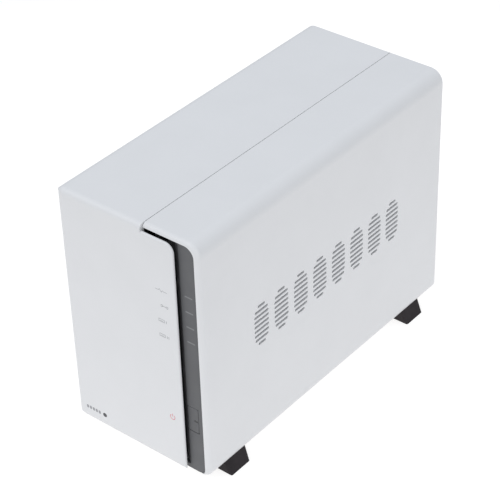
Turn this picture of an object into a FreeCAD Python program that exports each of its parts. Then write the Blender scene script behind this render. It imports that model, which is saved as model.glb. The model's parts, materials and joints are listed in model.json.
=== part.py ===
"""Two-bay desktop network storage box, millimetres, +Z up, front towards -Y, right side towards +X.

The housing is two plastic half shells that meet on a seam along the top and the bottom. The left one is
the service cover: it carries the front panel and slides off forwards. The right one is the base: it holds
a dark bezel with four status lights and the power button, and a steel chassis with the fan, the main
board and a cage for two 3.5 inch disks that stand on edge. The origin is the centre of the bounding box's
underside, between the feet.
"""

import FreeCAD
import Part

import math
import os

from FreeCAD import Vector

# ---- driving dimensions ---------------------------------------------------------------------------
WIDTH = 100.0
DEPTH = 225.5
HEIGHT = 165.0
FOOT_HEIGHT = 6.4
WALL = 2.4
LIP_WALL = 3.25
SEAM_X = 12.3
SEAM_GAP = 0.4
PANEL_THICKNESS = 3.5
SCREW_HEAD_HEIGHT = 2.25
STEEL = 1.0
FIT = 0.2

# ---- housing planes -------------------------------------------------------------------------------
HALF = WIDTH / 2
FACE_Y = -DEPTH / 2
LIP_Y = FACE_Y + 2.05
BEZEL_Y = FACE_Y + PANEL_THICKNESS
CHASSIS_REAR_Y = DEPTH / 2 - SCREW_HEAD_HEIGHT
CHASSIS_FRONT_Y = CHASSIS_REAR_Y - STEEL
SHELL_REAR_Y = CHASSIS_REAR_Y + 0.75
FLOOR_Z = FOOT_HEIGHT + WALL
CEILING_Z = HEIGHT - WALL
INNER_X = HALF - WALL
RADII = {"top_left": 6.5, "top_right": 8.5, "bottom_right": 6.0, "bottom_left": 6.3}
FRONT_ROUND = 3.3
COVER_CORNER_ROUND = 6.9
CAVITY_CORNER_ROUND = 4.5
LIP_ROUND = 3.0
PANEL_EDGE_ROUND = 1.1
REAR_ROUND = 0.6

# ---- front panel extension and bezel --------------------------------------------------------------
PANEL_EDGE_X = 34.25
PANEL_TOP_Z = 160.9
PANEL_SKIN = 1.3
PANEL_UNDERCUT = 4.0
PANEL_RIBS_Z = (70.0, 130.0)
RIB_THICKNESS = 1.6
RIB_DEPTH = 3.0
SCREW_BOSS_RADIUS = 2.6
SCREW_BOSS_LENGTH = 9.0
PANEL_CORNER = 5.5
PANEL_FOOT_CORNER = 1.6
STRIP_LEFT_X = 35.25
STRIP_THICKNESS = 2.0
STRIP_REAR_Y = BEZEL_Y + STRIP_THICKNESS
STRIP_FOOT_CORNER = 5.8
FLANK_LEFT_X = 30.8
FLANK_DROP = 2.6
FLANK_THICKNESS = 1.6
FLANK_WALL = 1.6
GROOVE_FOOT_Z = 9.4
GROOVE_CORNER = 1.8
INTAKE_Y = -101.3
INTAKE_THICKNESS = 1.2
INTAKE_HOLES_X = (SEAM_X + 4.0, 22.5)
INTAKE_ROWS = 17
INTAKE_ROW_PITCH = 8.2
INTAKE_ROW_HEIGHT = 4.2
LIGHT_X = (37.8, 43.1)
LIGHT_HALF_HEIGHT = 0.45
LENS_FIT = 0.03
LIGHT_PITCH = 10.05
LIGHTS = ("status", "network", "disk_1", "disk_2")
FIRST_LIGHT_Z = 128.6
BUTTON_X = (STRIP_LEFT_X, 42.5)
BUTTON_Z = (35.5, 52.5)
BUTTON_GAP = 0.3
BUTTON_LENS = (39.6, 42.0, 43.0, 44.2)
FRONT_BOARD_Y = -101.2
FRONT_BOARD_THICKNESS = 1.6
POWER_SWITCH = (40.9, 48.6)
BOARD_POSTS = ((42.5, 66.0), (42.5, 90.0))
BEZEL_RIBS_Z = (24.0, 62.0, 104.0, 142.0)

# ---- side vents -----------------------------------------------------------------------------------
VENT_COLUMNS = 8
VENT_COLUMN_PITCH = 17.6
VENT_COLUMN_WIDTH = 12.6
VENT_ROWS = 9
VENT_ROW_PITCH = 3.2
VENT_SLOT_HEIGHT = 1.7
VENT_CENTRE_Z = 86.6

# ---- feet -----------------------------------------------------------------------------------------
FOOT_LENGTH = 16.4
FOOT_WIDTH = 21.0
FOOT_REACH = HALF + 3.0
FOOT_FLARE = 4.8
FOOT_REAR_SLANT = 2.4
FOOT_Y = {"front": -87.2, "rear": 85.4}
FOOT_CORNER = 0.9
FOOT_STUD_X = 38.0
FOOT_STUD_RADIUS = 2.4

# ---- fan ------------------------------------------------------------------------------------------
FAN_SIDE = 92.0
FAN_DEPTH = 25.0
FAN_HOLE_PITCH = 82.5
FAN_Z = 108.0
FAN_DUCT_RADIUS = 43.6
FAN_WAIST = 1.2
FAN_HUB_RADIUS = 17.5
FAN_BLADES = 9
FAN_FRONT_Y = CHASSIS_FRONT_Y - FAN_DEPTH
GRILLE_RINGS = 6
GRILLE_PITCH = 6.0
GRILLE_SLOT = 3.8

# ---- boards and disks -----------------------------------------------------------------------------
TRAY_Z = 10.2
TRAY_TOP_Z = TRAY_Z + STEEL
BOARD_X = (-38.5, 24.5)
BOARD_Y = (-24.0, CHASSIS_FRONT_Y - 0.6)
BOARD_Z = 14.4
BOARD_THICKNESS = 1.6
BOARD_TOP_Z = BOARD_Z + BOARD_THICKNESS
HEADER_FRONT_Y = BOARD_Y[0] + 9.5
FAN_HEADER = (8.0, 86.5, 24.5)
BOARD_HOLES = ((-34.5, -20.0), (20.5, -20.0), (-34.5, 84.0), (20.5, 84.0))
DISK_LENGTH = 147.0
DISK_HEIGHT = 101.6
DISK_THICKNESS = 26.1
DISK_REAR_Y = 66.0
DISK_FRONT_Y = DISK_REAR_Y - DISK_LENGTH
DISK_Z = 45.0
DISK_LEFT_X = (-37.2, -3.7)
CAGE_X = (-41.2, 26.4)
CAGE_Y = (-77.0, 61.0)
CAGE_Z = (44.0, 147.8)
CAGE_WINDOWS_Y = ((-64.0, -14.0), (-2.0, 48.0))
CAGE_WINDOWS_Z = (60.0, 132.0)
RISER_Y = 70.4
RISER_THICKNESS = 1.6
DISK_HOLE_Y = (DISK_REAR_Y - 28.5, DISK_REAR_Y - 130.1)
DISK_HOLE_INSET = 6.35

# ---- fasteners ------------------------------------------------------------------------------------
M3_RADIUS = 1.5
M3_HEAD_RADIUS = 2.9
COVER_SCREWS = ((-30.0, 159.3), (-44.4, 36.0))
CHASSIS_SCREWS = ((30.0, 159.3), (44.4, 36.0), (44.4, 15.5))
TRAY_SCREWS = ((40.0, -50.0), (40.0, 20.0), (30.0, 92.0))
LEG_SCREWS = ((-33.0, -67.0), (32.4, -67.0), (32.4, 54.0))

# ---- rear sockets: x centre of each, all standing on the main board -------------------------------
POWER_JACK_X = -31.0
NETWORK_JACK_X = -13.0
USB_JACK_X = 6.5
RESET_X = 19.5
RESET_Z = BOARD_TOP_Z + 4.0
LOCK_SLOT = (37.0, 24.0)
SOCKET_PROUD = 0.9
SOCKET_REAR_Y = CHASSIS_REAR_Y + SOCKET_PROUD


# ---- helpers --------------------------------------------------------------------------------------
def box(x0, x1, y0, y1, z0, z1):
    """A box between two corners, given as the low and high value along each axis."""
    return Part.makeBox(x1 - x0, y1 - y0, z1 - z0, Vector(x0, y0, z0))


def rod(start, end, radius):
    """A cylinder from one point to another."""
    along = Vector(*end) - Vector(*start)
    return Part.makeCylinder(radius, along.Length, Vector(*start), along)


def joined(shapes):
    """One solid made of several that touch or overlap."""
    shapes = list(shapes)
    return shapes[0].fuse(shapes[1:]).removeSplitter() if len(shapes) > 1 else shapes[0]


def without(shape, tools):
    """The shape with every tool cut away."""
    return shape.cut(list(tools))


def outline(x0, x1, z0, z1, radii, y):
    """A rounded rectangle in the XZ plane at y. radii: top left, top right, bottom right, bottom left."""
    top_left, top_right, bottom_right, bottom_left = radii
    corners = (
        (x0 + top_left, z1 - top_left, top_left, 180, 90),
        (x1 - top_right, z1 - top_right, top_right, 90, 0),
        (x1 - bottom_right, z0 + bottom_right, bottom_right, 0, -90),
        (x0 + bottom_left, z0 + bottom_left, bottom_left, -90, -180),
    )
    arcs = []
    for x, z, radius, start, end in corners:
        turns = [math.radians(a) for a in (start, (start + end) / 2, end)]
        arcs.append([Vector(x + radius * math.cos(a), y, z + radius * math.sin(a)) for a in turns])
    edges = []
    for here, following in zip(arcs, arcs[1:] + arcs[:1]):
        edges.append(Part.Arc(*here).toShape())
        if (here[2] - following[0]).Length > 1e-6:
            edges.append(Part.makeLine(here[2], following[0]))
    return Part.Face(Part.Wire(edges))


def prism(x0, x1, z0, z1, radii, y0, y1):
    """A rounded rectangle drawn out along Y."""
    return outline(x0, x1, z0, z1, radii, y0).extrude(Vector(0, y1 - y0, 0))


def rounded_edges(solid, radius, y=None, keep=None):
    """The solid with the edges that lie in the plane at y, and that keep() accepts, rounded."""
    chosen = []
    for edge in solid.Edges:
        inside = edge.BoundBox
        in_plane = y is None or (abs(inside.YMin - y) < 1e-4 and abs(inside.YMax - y) < 1e-4)
        if in_plane and (keep is None or keep(edge)):
            chosen.append(edge)
    return solid.makeFillet(radius, chosen)


def shell_outline(inset):
    """Low and high x and z of the housing's outline moved inwards, and its four corner radii."""
    order = ("top_left", "top_right", "bottom_right", "bottom_left")
    radii = [max(RADII[name] - inset, 0.4) for name in order]
    return -HALF + inset, HALF - inset, FOOT_HEIGHT + inset, HEIGHT - inset, radii


def shell_prism(inset, y0, y1):
    """The housing's outline, moved inwards and drawn out along Y."""
    x0, x1, z0, z1, radii = shell_outline(inset)
    return prism(x0, x1, z0, z1, radii, y0, y1)


def pan_screw(head_base, direction, length, radius=M3_RADIUS, head=M3_HEAD_RADIUS, height=SCREW_HEAD_HEIGHT):
    """A pan-head cross-recess screw. head_base is where the head meets the sheet, direction points out."""
    out = Vector(*direction)
    base = Vector(*head_base)
    body = Part.makeCylinder(head, height, base, out)
    top_edges = [e for e in body.Edges if abs((e.CenterOfMass - base).dot(out) - height) < 1e-4]
    body = body.makeFillet(0.8, top_edges)
    shank = Part.makeCylinder(radius, length + 0.5, base + out * 0.5, out * -1)
    side = Vector(1, 0, 0) if abs(out.x) < 0.5 else Vector(0, 1, 0)
    recess = []
    for turn in (0, 90):
        bar = Part.makeBox(head * 1.1, head * 0.24, 1.4, Vector(-head * 0.55, -head * 0.12, 0))
        bar.rotate(Vector(0, 0, 0), Vector(0, 0, 1), turn)
        pose = FreeCAD.Placement(base + out * (height - 1.2), frame_rotation(out, side))
        bar.Placement = pose.multiply(bar.Placement)
        recess.append(bar)
    return without(joined([body, shank]), recess)


def frame_rotation(up, side):
    """A rotation that takes +Z to up and +X to side."""
    return FreeCAD.Rotation(side, Vector(0, 0, 0), up, "ZXY")


def tube(points, radius, corner=0.45):
    """A round tube along straight runs joined by tangent arcs as large as the shorter run allows."""
    points = [Vector(*p) for p in points]
    edges = []
    start = points[0]
    for before, here, after in zip(points, points[1:], points[2:]):
        inwards = (before - here).normalize()
        outwards = (after - here).normalize()
        reach = corner * min((before - here).Length, (after - here).Length)
        first = here + inwards * reach
        last = here + outwards * reach
        half_turn = (math.pi - inwards.getAngle(outwards)) / 2
        bend = reach / math.tan(half_turn)
        middle_way = (inwards + outwards).normalize()
        middle = here + middle_way * (bend / math.cos(half_turn) - bend)
        edges.append(Part.makeLine(start, first))
        edges.append(Part.Arc(first, middle, last).toShape())
        start = last
    edges.append(Part.makeLine(start, points[-1]))
    path = Part.Wire(edges)
    profile = Part.Wire(Part.makeCircle(radius, points[0], points[1] - points[0]))
    return path.makePipeShell([profile], True, True)


# ---- housing --------------------------------------------------------------------------------------
def vent_slots(x0, x1):
    """Horizontal slots through a side wall: a row of pill-shaped groups, each a stack of short slots."""
    slots = []
    straight = (VENT_ROWS - 1) * VENT_ROW_PITCH / 2 - VENT_COLUMN_WIDTH / 2
    end = VENT_SLOT_HEIGHT / 2
    for column in range(VENT_COLUMNS):
        centre_y = (column - (VENT_COLUMNS - 1) / 2) * VENT_COLUMN_PITCH
        for row in range(VENT_ROWS):
            rise = (row - (VENT_ROWS - 1) / 2) * VENT_ROW_PITCH
            beyond = max(abs(rise) - straight, 0.0)
            half_width = math.sqrt(max((VENT_COLUMN_WIDTH / 2) ** 2 - (beyond * 0.86) ** 2, 1.0))
            z = VENT_CENTRE_Z + rise
            flat = half_width - end
            low = Vector(x0, centre_y - flat, z - end)
            along, up = Vector(0, 2 * flat, 0), Vector(0, 0, 2 * end)
            corners = [low, low + along, low + along + up, low + up]
            edges = [
                Part.makeLine(corners[0], corners[1]),
                Part.Arc(corners[1], Vector(x0, centre_y + half_width, z), corners[2]).toShape(),
                Part.makeLine(corners[2], corners[3]),
                Part.Arc(corners[3], Vector(x0, centre_y - half_width, z), corners[0]).toShape(),
            ]
            slots.append(Part.Face(Part.Wire(edges)).extrude(Vector(x1 - x0, 0, 0)))
    return slots


def foot_holes(side):
    """Holes through the floor for the studs of the two feet on one side, -1 for left and 1 for right."""
    x = side * FOOT_STUD_X
    return [rod((x, y, 0), (x, y, FLOOR_Z + 4), FOOT_STUD_RADIUS + 0.1) for y in FOOT_Y.values()]


def boss(x, z, y0, y1, wall_box, radius=2.8):
    """A screw boss along Y that grows out of a wall, with a pilot hole from its rear end."""
    body = joined([rod((x, y0, z), (x, y1, z), radius), wall_box])
    return body, rod((x, y0 + 1.5, z), (x, y1 + 1, z), M3_RADIUS + 0.05)


def cover_plan(inset, radius):
    """The space within the cover seen from above, with its front left upright edge rounded."""
    x0, y0 = -HALF + inset, (FACE_Y if inset == 0 else BEZEL_Y)
    block = box(x0, HALF + 1, y0, SHELL_REAR_Y + 2, 0, HEIGHT + 1)
    corner = Vector(x0, y0, 0)
    upright = [e for e in block.Edges if (e.CenterOfMass - corner).cross(Vector(0, 0, 1)).Length < 1e-4]
    return block.makeFillet(radius, upright)


def left_cover():
    """The service cover: left, top left and bottom left walls, and the front panel with its extension."""
    full = shell_prism(0, FACE_Y, SHELL_REAR_Y)
    full = rounded_edges(full, FRONT_ROUND, FACE_Y)
    full = rounded_edges(full, REAR_ROUND, SHELL_REAR_Y)
    full = full.common(cover_plan(0, COVER_CORNER_ROUND))
    cavity = shell_prism(WALL, BEZEL_Y, SHELL_REAR_Y + 1).common(cover_plan(WALL, CAVITY_CORNER_ROUND))
    seam = SEAM_X - SEAM_GAP / 2
    shell = full.common(box(-HALF - 1, seam, FACE_Y - 1, SHELL_REAR_Y + 1, 0, HEIGHT + 1))
    shell = without(shell, [cavity])
    corners = (1, PANEL_CORNER, PANEL_FOOT_CORNER, 1)
    skin = prism(0, PANEL_EDGE_X, FOOT_HEIGHT, PANEL_TOP_Z, corners, FACE_Y, FACE_Y + PANEL_SKIN)
    skin = rounded_edges(skin, PANEL_EDGE_ROUND, FACE_Y, lambda e: e.BoundBox.XMax > 1.5)
    core_x, core_z = PANEL_EDGE_X - PANEL_UNDERCUT, PANEL_TOP_Z - PANEL_UNDERCUT
    core = prism(0, core_x, FOOT_HEIGHT, core_z, corners, FACE_Y + PANEL_SKIN / 2, BEZEL_Y)
    panel = joined([skin, core]).common(box(4.0, HALF, FACE_Y - 1, BEZEL_Y + 1, 0, HEIGHT)).common(full)
    parts = [shell, panel]
    for z in PANEL_RIBS_Z:
        parts.append(box(seam - 4, core_x - 2, BEZEL_Y - 0.5, BEZEL_Y + RIB_DEPTH, z, z + RIB_THICKNESS))
    holes = foot_holes(-1) + vent_slots(-HALF - 1, -INNER_X + 1)
    (top_x, top_z), (side_x, side_z) = COVER_SCREWS
    front_end = CHASSIS_FRONT_Y - SCREW_BOSS_LENGTH
    rear_end = CHASSIS_FRONT_Y - 0.1
    top_rib = box(top_x - 2.8, top_x + 2.8, front_end, rear_end, top_z, CEILING_Z + 0.5)
    side_rib = box(-INNER_X - 0.5, side_x, front_end, rear_end, side_z - 2.6, side_z + 2.6)
    for x, z, rib in ((top_x, top_z, top_rib), (side_x, side_z, side_rib)):
        body, pilot = boss(x, z, front_end, rear_end, rib, SCREW_BOSS_RADIUS)
        parts.append(body)
        holes.append(pilot)
    return without(joined(parts), holes)


def base_shell():
    """The right half shell: side wall, top right and bottom right walls, and the tongues along the seam."""
    full = shell_prism(0, LIP_Y, SHELL_REAR_Y)
    full = rounded_edges(full, LIP_ROUND, LIP_Y)
    full = rounded_edges(full, REAR_ROUND, SHELL_REAR_Y)
    seam = SEAM_X + SEAM_GAP / 2
    shell = full.common(box(seam, HALF + 1, LIP_Y - 1, SHELL_REAR_Y + 1, 0, HEIGHT + 1))
    behind_strip = shell_prism(WALL, BEZEL_Y, SHELL_REAR_Y + 1)
    x0, _, z0, z1, radii = shell_outline(WALL)
    within_lip = prism(x0, HALF - LIP_WALL, z0, z1, radii, LIP_Y - 1, BEZEL_Y)
    under_panel = box(seam - 1, STRIP_LEFT_X, LIP_Y - 1, BEZEL_Y + FIT, 0, FLOOR_Z + 1)
    at_strip_foot = strip_foot(FIT, LIP_Y - 1, STRIP_REAR_Y + FIT)
    shell = without(shell, [behind_strip, within_lip, under_panel, at_strip_foot])
    rail_front, rail_rear = INTAKE_Y + 4, CHASSIS_FRONT_Y - 1
    parts = [shell]
    parts.append(box(seam + 0.5, seam + 6, rail_front, rail_rear, CEILING_Z - 1.4, CEILING_Z))
    parts.append(box(seam - 4, seam + 1, rail_front, rail_rear, CEILING_Z - 1.4, CEILING_Z - FIT))
    parts.append(box(seam + 0.5, seam + 6, rail_front, rail_rear, FLOOR_Z, FLOOR_Z + 1.3))
    parts.append(box(seam - 4, seam + 1, rail_front, rail_rear, FLOOR_Z + FIT, FLOOR_Z + 1.3))
    bezel_rear = STRIP_REAR_Y
    for z in BEZEL_RIBS_Z:
        parts.append(box(INNER_X - 2.2, INNER_X + 0.3, bezel_rear, bezel_rear + 4, z - 4, z + 4))
    holes = foot_holes(1) + vent_slots(INNER_X - 1, HALF + 1)
    for x, y in TRAY_SCREWS:
        parts.append(rod((x, y, FLOOR_Z - 0.5), (x, y, TRAY_Z), 4.0))
        holes.append(rod((x, y, FLOOR_Z - 1.2), (x, y, TRAY_Z + 1), M3_RADIUS + 0.05))
    front_end = CHASSIS_FRONT_Y - SCREW_BOSS_LENGTH
    for x, z in CHASSIS_SCREWS:
        if z > HEIGHT / 2:
            rib = box(x - 2.8, x + 2.8, front_end, CHASSIS_FRONT_Y, z, CEILING_Z + 0.5)
        else:
            rib = box(x, INNER_X + 0.5, front_end, CHASSIS_FRONT_Y, z - 2.6, z + 2.6)
        body, pilot = boss(x, z, front_end, CHASSIS_FRONT_Y, rib, SCREW_BOSS_RADIUS)
        parts.append(body)
        holes.append(pilot)
    return without(joined(parts), holes)


def strip_foot(clearance, y0, y1):
    """The lower end of the dark strip, which takes the place of the housing's lip down to its underside."""
    x0, x1 = FLANK_LEFT_X - clearance, HALF - LIP_WALL - FIT + clearance
    low = FOOT_HEIGHT + FIT - clearance
    return prism(x0, x1, low, FLOOR_Z + 10, (0.5, 0.5, STRIP_FOOT_CORNER, 0.5), y0, y1)


def foot(side, y):
    """A rubber foot whose outer face flares out towards the floor, with a stud that plugs into the shell."""
    top = FOOT_HEIGHT + 2.5
    lean = FOOT_FLARE * top / FOOT_HEIGHT
    slant = FOOT_REAR_SLANT * top / FOOT_HEIGHT
    inner = FOOT_REACH - FOOT_WIDTH
    section = [(FOOT_REACH, 0), (FOOT_REACH - lean, top), (inner + 2, top), (inner, 0)]
    corners = [Vector(side * x, y - FOOT_LENGTH / 2, z) for x, z in section]
    body = Part.Face(Part.makePolygon(corners + corners[:1])).extrude(Vector(0, FOOT_LENGTH + slant, 0))
    front_y, rear_y = y - FOOT_LENGTH / 2 - 1, y + FOOT_LENGTH / 2
    side_view = ((front_y, 0), (rear_y, 0), (rear_y + slant, top), (front_y, top))
    profile = [Vector(-WIDTH, *point) for point in side_view]
    body = body.common(Part.Face(Part.makePolygon(profile + profile[:1])).extrude(Vector(2 * WIDTH, 0, 0)))
    upright = [e for e in body.Edges if e.BoundBox.ZMax - e.BoundBox.ZMin > top - 1e-3]
    body = body.makeFillet(FOOT_CORNER, upright)
    body = without(body, [shell_prism(0, FACE_Y, SHELL_REAR_Y)])
    stud_x = side * FOOT_STUD_X
    stud = rod((stud_x, y, FOOT_HEIGHT - 1), (stud_x, y, FLOOR_Z + 1.2), FOOT_STUD_RADIUS)
    return joined([body, stud])


# ---- bezel, lights and power button ---------------------------------------------------------------
def light_z(index):
    """Height of a status light, counted from the top."""
    return FIRST_LIGHT_Z - index * LIGHT_PITCH


def flank(z0, z1):
    """The strip's left flank, which slopes back underneath the panel's edge, and the wall behind it."""
    rear = STRIP_REAR_Y
    low_y = BEZEL_Y + FLANK_DROP
    plan = [(STRIP_LEFT_X, BEZEL_Y), (STRIP_LEFT_X + 2, BEZEL_Y), (STRIP_LEFT_X + 2, rear),
            (STRIP_LEFT_X + 0.6, rear), (FLANK_LEFT_X, low_y + FLANK_THICKNESS), (FLANK_LEFT_X, low_y)]
    corners = [Vector(x, y, z0) for x, y in plan]
    slope = Part.Face(Part.makePolygon(corners + corners[:1])).extrude(Vector(0, 0, z1 - z0))
    wall = box(FLANK_LEFT_X, FLANK_LEFT_X + FLANK_WALL, low_y + 0.1, INTAKE_Y, z0, z1)
    return [slope, wall]


def groove_foot():
    """Closes the lower end of the sloped groove, with a rounded corner against the strip."""
    floor_z = shell_outline(WALL + FIT)[2]
    depth_y = BEZEL_Y + FLANK_DROP + 0.2
    left, right = FLANK_LEFT_X, STRIP_LEFT_X
    plug = box(left, right + 1, BEZEL_Y, depth_y, floor_z, GROOVE_FOOT_Z)
    corner = box(right - GROOVE_CORNER, right, BEZEL_Y, depth_y, GROOVE_FOOT_Z, GROOVE_FOOT_Z + GROOVE_CORNER)
    axis_x, axis_z = right - GROOVE_CORNER, GROOVE_FOOT_Z + GROOVE_CORNER
    corner = corner.cut(rod((axis_x, BEZEL_Y - 1, axis_z), (axis_x, depth_y + 1, axis_z), GROOVE_CORNER))
    return [plug, corner]


def front_bezel():
    """Dark strip beside the front panel, with a recessed intake wall behind the panel's edge."""
    x0, x1, z0, z1, radii = shell_outline(WALL + FIT)
    rear = STRIP_REAR_Y
    strip = prism(x0, x1, z0, z1, radii, BEZEL_Y, rear)
    strip = strip.common(box(STRIP_LEFT_X, HALF, BEZEL_Y - 1, rear + 1, 0, HEIGHT))
    beside_groove = box(FLANK_LEFT_X - 1, STRIP_LEFT_X, BEZEL_Y - 1, rear + 1, GROOVE_FOOT_Z, HEIGHT)
    strip = joined([strip, without(strip_foot(0, BEZEL_Y, rear), [beside_groove])])
    intake = prism(x0, x1, z0, z1, radii, INTAKE_Y - INTAKE_THICKNESS, INTAKE_Y)
    intake = intake.common(box(SEAM_X + 1, FLANK_LEFT_X + FLANK_WALL, INTAKE_Y - 5, INTAKE_Y + 1, 0, HEIGHT))
    parts = [strip, intake] + flank(z0, z1) + groove_foot()
    for x, z in BOARD_POSTS:
        parts.append(rod((x, rear - 0.2, z), (x, FRONT_BOARD_Y, z), 2.6))
    holes = [rod((x, rear + 0.8, z), (x, FRONT_BOARD_Y + 1, z), 1.05) for x, z in BOARD_POSTS]
    for index in range(len(LIGHTS)):
        z = light_z(index)
        half = LIGHT_HALF_HEIGHT + LENS_FIT
        slot_x = (LIGHT_X[0] - LENS_FIT, LIGHT_X[1] + LENS_FIT)
        holes.append(box(*slot_x, BEZEL_Y - 1, rear + 1, z - half, z + half))
    x_high = BUTTON_X[1] + BUTTON_GAP
    z_low, z_high = BUTTON_Z[0] - BUTTON_GAP, BUTTON_Z[1] + BUTTON_GAP
    holes.append(box(BUTTON_X[0] - BUTTON_GAP, x_high, BEZEL_Y - 1, rear + 0.1, z_low, z_high))
    holes.append(box(BUTTON_X[0] - 1, STRIP_LEFT_X + 3, rear - 0.2, rear + 3.5, z_low - 1.6, z_high + 1.6))
    for row in range(INTAKE_ROWS):
        z = z0 + 12 + row * INTAKE_ROW_PITCH
        holes.append(box(*INTAKE_HOLES_X, INTAKE_Y - 5, INTAKE_Y + 1, z, z + INTAKE_ROW_HEIGHT))
    return without(joined(parts), holes)


def light_pipe(index):
    """Clear plastic blade that carries one indicator's light to the face, with a flange behind the strip."""
    z = light_z(index)
    rear = STRIP_REAR_Y
    half = LIGHT_HALF_HEIGHT
    blade = box(LIGHT_X[0], LIGHT_X[1], BEZEL_Y, rear + 1, z - half, z + half)
    flange = box(LIGHT_X[0] - 0.1, LIGHT_X[1] + 1.2, rear + 0.02, rear + 1.4, z - 1.4, z + 1.4)
    stem = box(LIGHT_X[0] + 1.4, LIGHT_X[1] - 1.4, rear + 1, FRONT_BOARD_Y - 1.3, z - 0.9, z + 0.9)
    return joined([blade, flange, stem])


def power_button():
    """Button cap flush with the strip, with a flange that keeps it in and a stem that meets the switch."""
    x0, x1 = BUTTON_X
    z0, z1 = BUTTON_Z
    cap = prism(x0, x1, z0, z1, (0.4, 1.0, 1.0, 0.4), BEZEL_Y, BEZEL_Y + 3)
    cap = rounded_edges(cap, 0.25, BEZEL_Y)
    flange = box(x0 + 0.2, x1 + 1.3, STRIP_REAR_Y + 0.1, BEZEL_Y + 3, z0 - 1.3, z1 + 1.3)
    switch_x, switch_z = POWER_SWITCH
    stem = rod((switch_x, BEZEL_Y + 2.5, switch_z), (switch_x, FRONT_BOARD_Y - 4.55, switch_z), 1.9)
    lens_x0, lens_x1, lens_z0, lens_z1 = BUTTON_LENS
    hole = box(lens_x0 - 0.03, lens_x1 + 0.03, BEZEL_Y - 1, BEZEL_Y + 4, lens_z0 - 0.03, lens_z1 + 0.03)
    return without(joined([cap, flange, stem]), [hole])


def power_button_lens():
    """Clear window in the button, carrying the light of the power indicator."""
    x0, x1, z0, z1 = BUTTON_LENS
    blade = box(x0, x1, BEZEL_Y, BEZEL_Y + 3.5, z0, z1)
    flange = box(x0 - 0.5, x1 + 0.5, BEZEL_Y + 3.02, BEZEL_Y + 4.0, z0 - 0.6, z1 + 0.6)
    return joined([blade, flange])


def front_board():
    """Small circuit board behind the strip: it carries the lights and the power switch."""
    board = box(38.2, 46.8, FRONT_BOARD_Y, FRONT_BOARD_Y + FRONT_BOARD_THICKNESS, 28, 136)
    holes = [rod((x, FRONT_BOARD_Y - 1, z), (x, FRONT_BOARD_Y + 3, z), 1.3) for x, z in BOARD_POSTS]
    return without(board, holes)


def front_leds():
    """Surface-mounted light-emitting diodes: four behind the light pipes and one behind the button."""
    middle = sum(LIGHT_X) / 2
    lens_middle = (BUTTON_LENS[0] + BUTTON_LENS[1]) / 2
    spots = [(middle, light_z(i)) for i in range(len(LIGHTS))]
    spots.append((lens_middle, (BUTTON_LENS[2] + BUTTON_LENS[3]) / 2))
    return Part.makeCompound(
        [box(x - 1.0, x + 1.0, FRONT_BOARD_Y - 0.8, FRONT_BOARD_Y, z - 0.6, z + 0.6) for x, z in spots]
    )


def power_switch_body():
    """Square push switch on the front board, open at the front for its plunger."""
    x, z = POWER_SWITCH
    body = box(x - 3, x + 3, FRONT_BOARD_Y - 3.4, FRONT_BOARD_Y, z - 3, z + 3)
    return without(body, [rod((x, FRONT_BOARD_Y - 4, z), (x, FRONT_BOARD_Y - 1.0, z), 1.8)])


def power_switch_plunger():
    """Round plunger of the power switch."""
    x, z = POWER_SWITCH
    return rod((x, FRONT_BOARD_Y - 4.5, z), (x, FRONT_BOARD_Y - 2.2, z), 1.7)


def front_board_socket():
    """Lead socket on the back of the front board."""
    rear = FRONT_BOARD_Y + FRONT_BOARD_THICKNESS
    body = box(38.8, 46.2, rear, rear + 4.5, 30, 36)
    return without(body, [box(39.6, 45.4, rear + 1.5, rear + 5, 31, 35)])


def front_board_plug():
    """Plug housing on the front board's lead."""
    rear = FRONT_BOARD_Y + FRONT_BOARD_THICKNESS
    return box(39.7, 45.3, rear + 1.5, rear + 6.5, 31.1, 34.9)


def front_board_lead():
    """Round lead from the front board down to the main board's header."""
    rear = FRONT_BOARD_Y + FRONT_BOARD_THICKNESS
    points = (
        (42.5, rear + 6.5, 33.0),
        (42.5, -74.0, 33.0),
        (40.0, -58.0, 28.0),
        (30.0, -46.0, 24.0),
        (18.0, -38.0, 22.0),
        (14.0, -27.0, 19.5),
        (14.0, HEADER_FRONT_Y, 19.5),
    )
    return tube(points, 1.5)


# ---- steel chassis and disk cage ------------------------------------------------------------------
def fan_grille():
    """Ring slots in the chassis behind the fan, with six spokes left between them."""
    rings = []
    for ring in range(GRILLE_RINGS):
        inner = 8 + ring * GRILLE_PITCH
        depth = STEEL + 4
        start = Vector(0, CHASSIS_FRONT_Y - 2, FAN_Z)
        outer = Part.makeCylinder(inner + GRILLE_SLOT, depth, start, Vector(0, 1, 0))
        rings.append(outer.cut(Part.makeCylinder(inner, depth, start, Vector(0, 1, 0))))
    spokes = []
    for spoke in range(3):
        bar = box(-1.3, 1.3, CHASSIS_FRONT_Y - 3, CHASSIS_REAR_Y + 3, FAN_Z - 46, FAN_Z + 46)
        bar.rotate(Vector(0, 0, FAN_Z), Vector(0, 1, 0), 30 + 60 * spoke)
        spokes.append(bar)
    return [ring.cut(spokes) for ring in rings]


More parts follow.
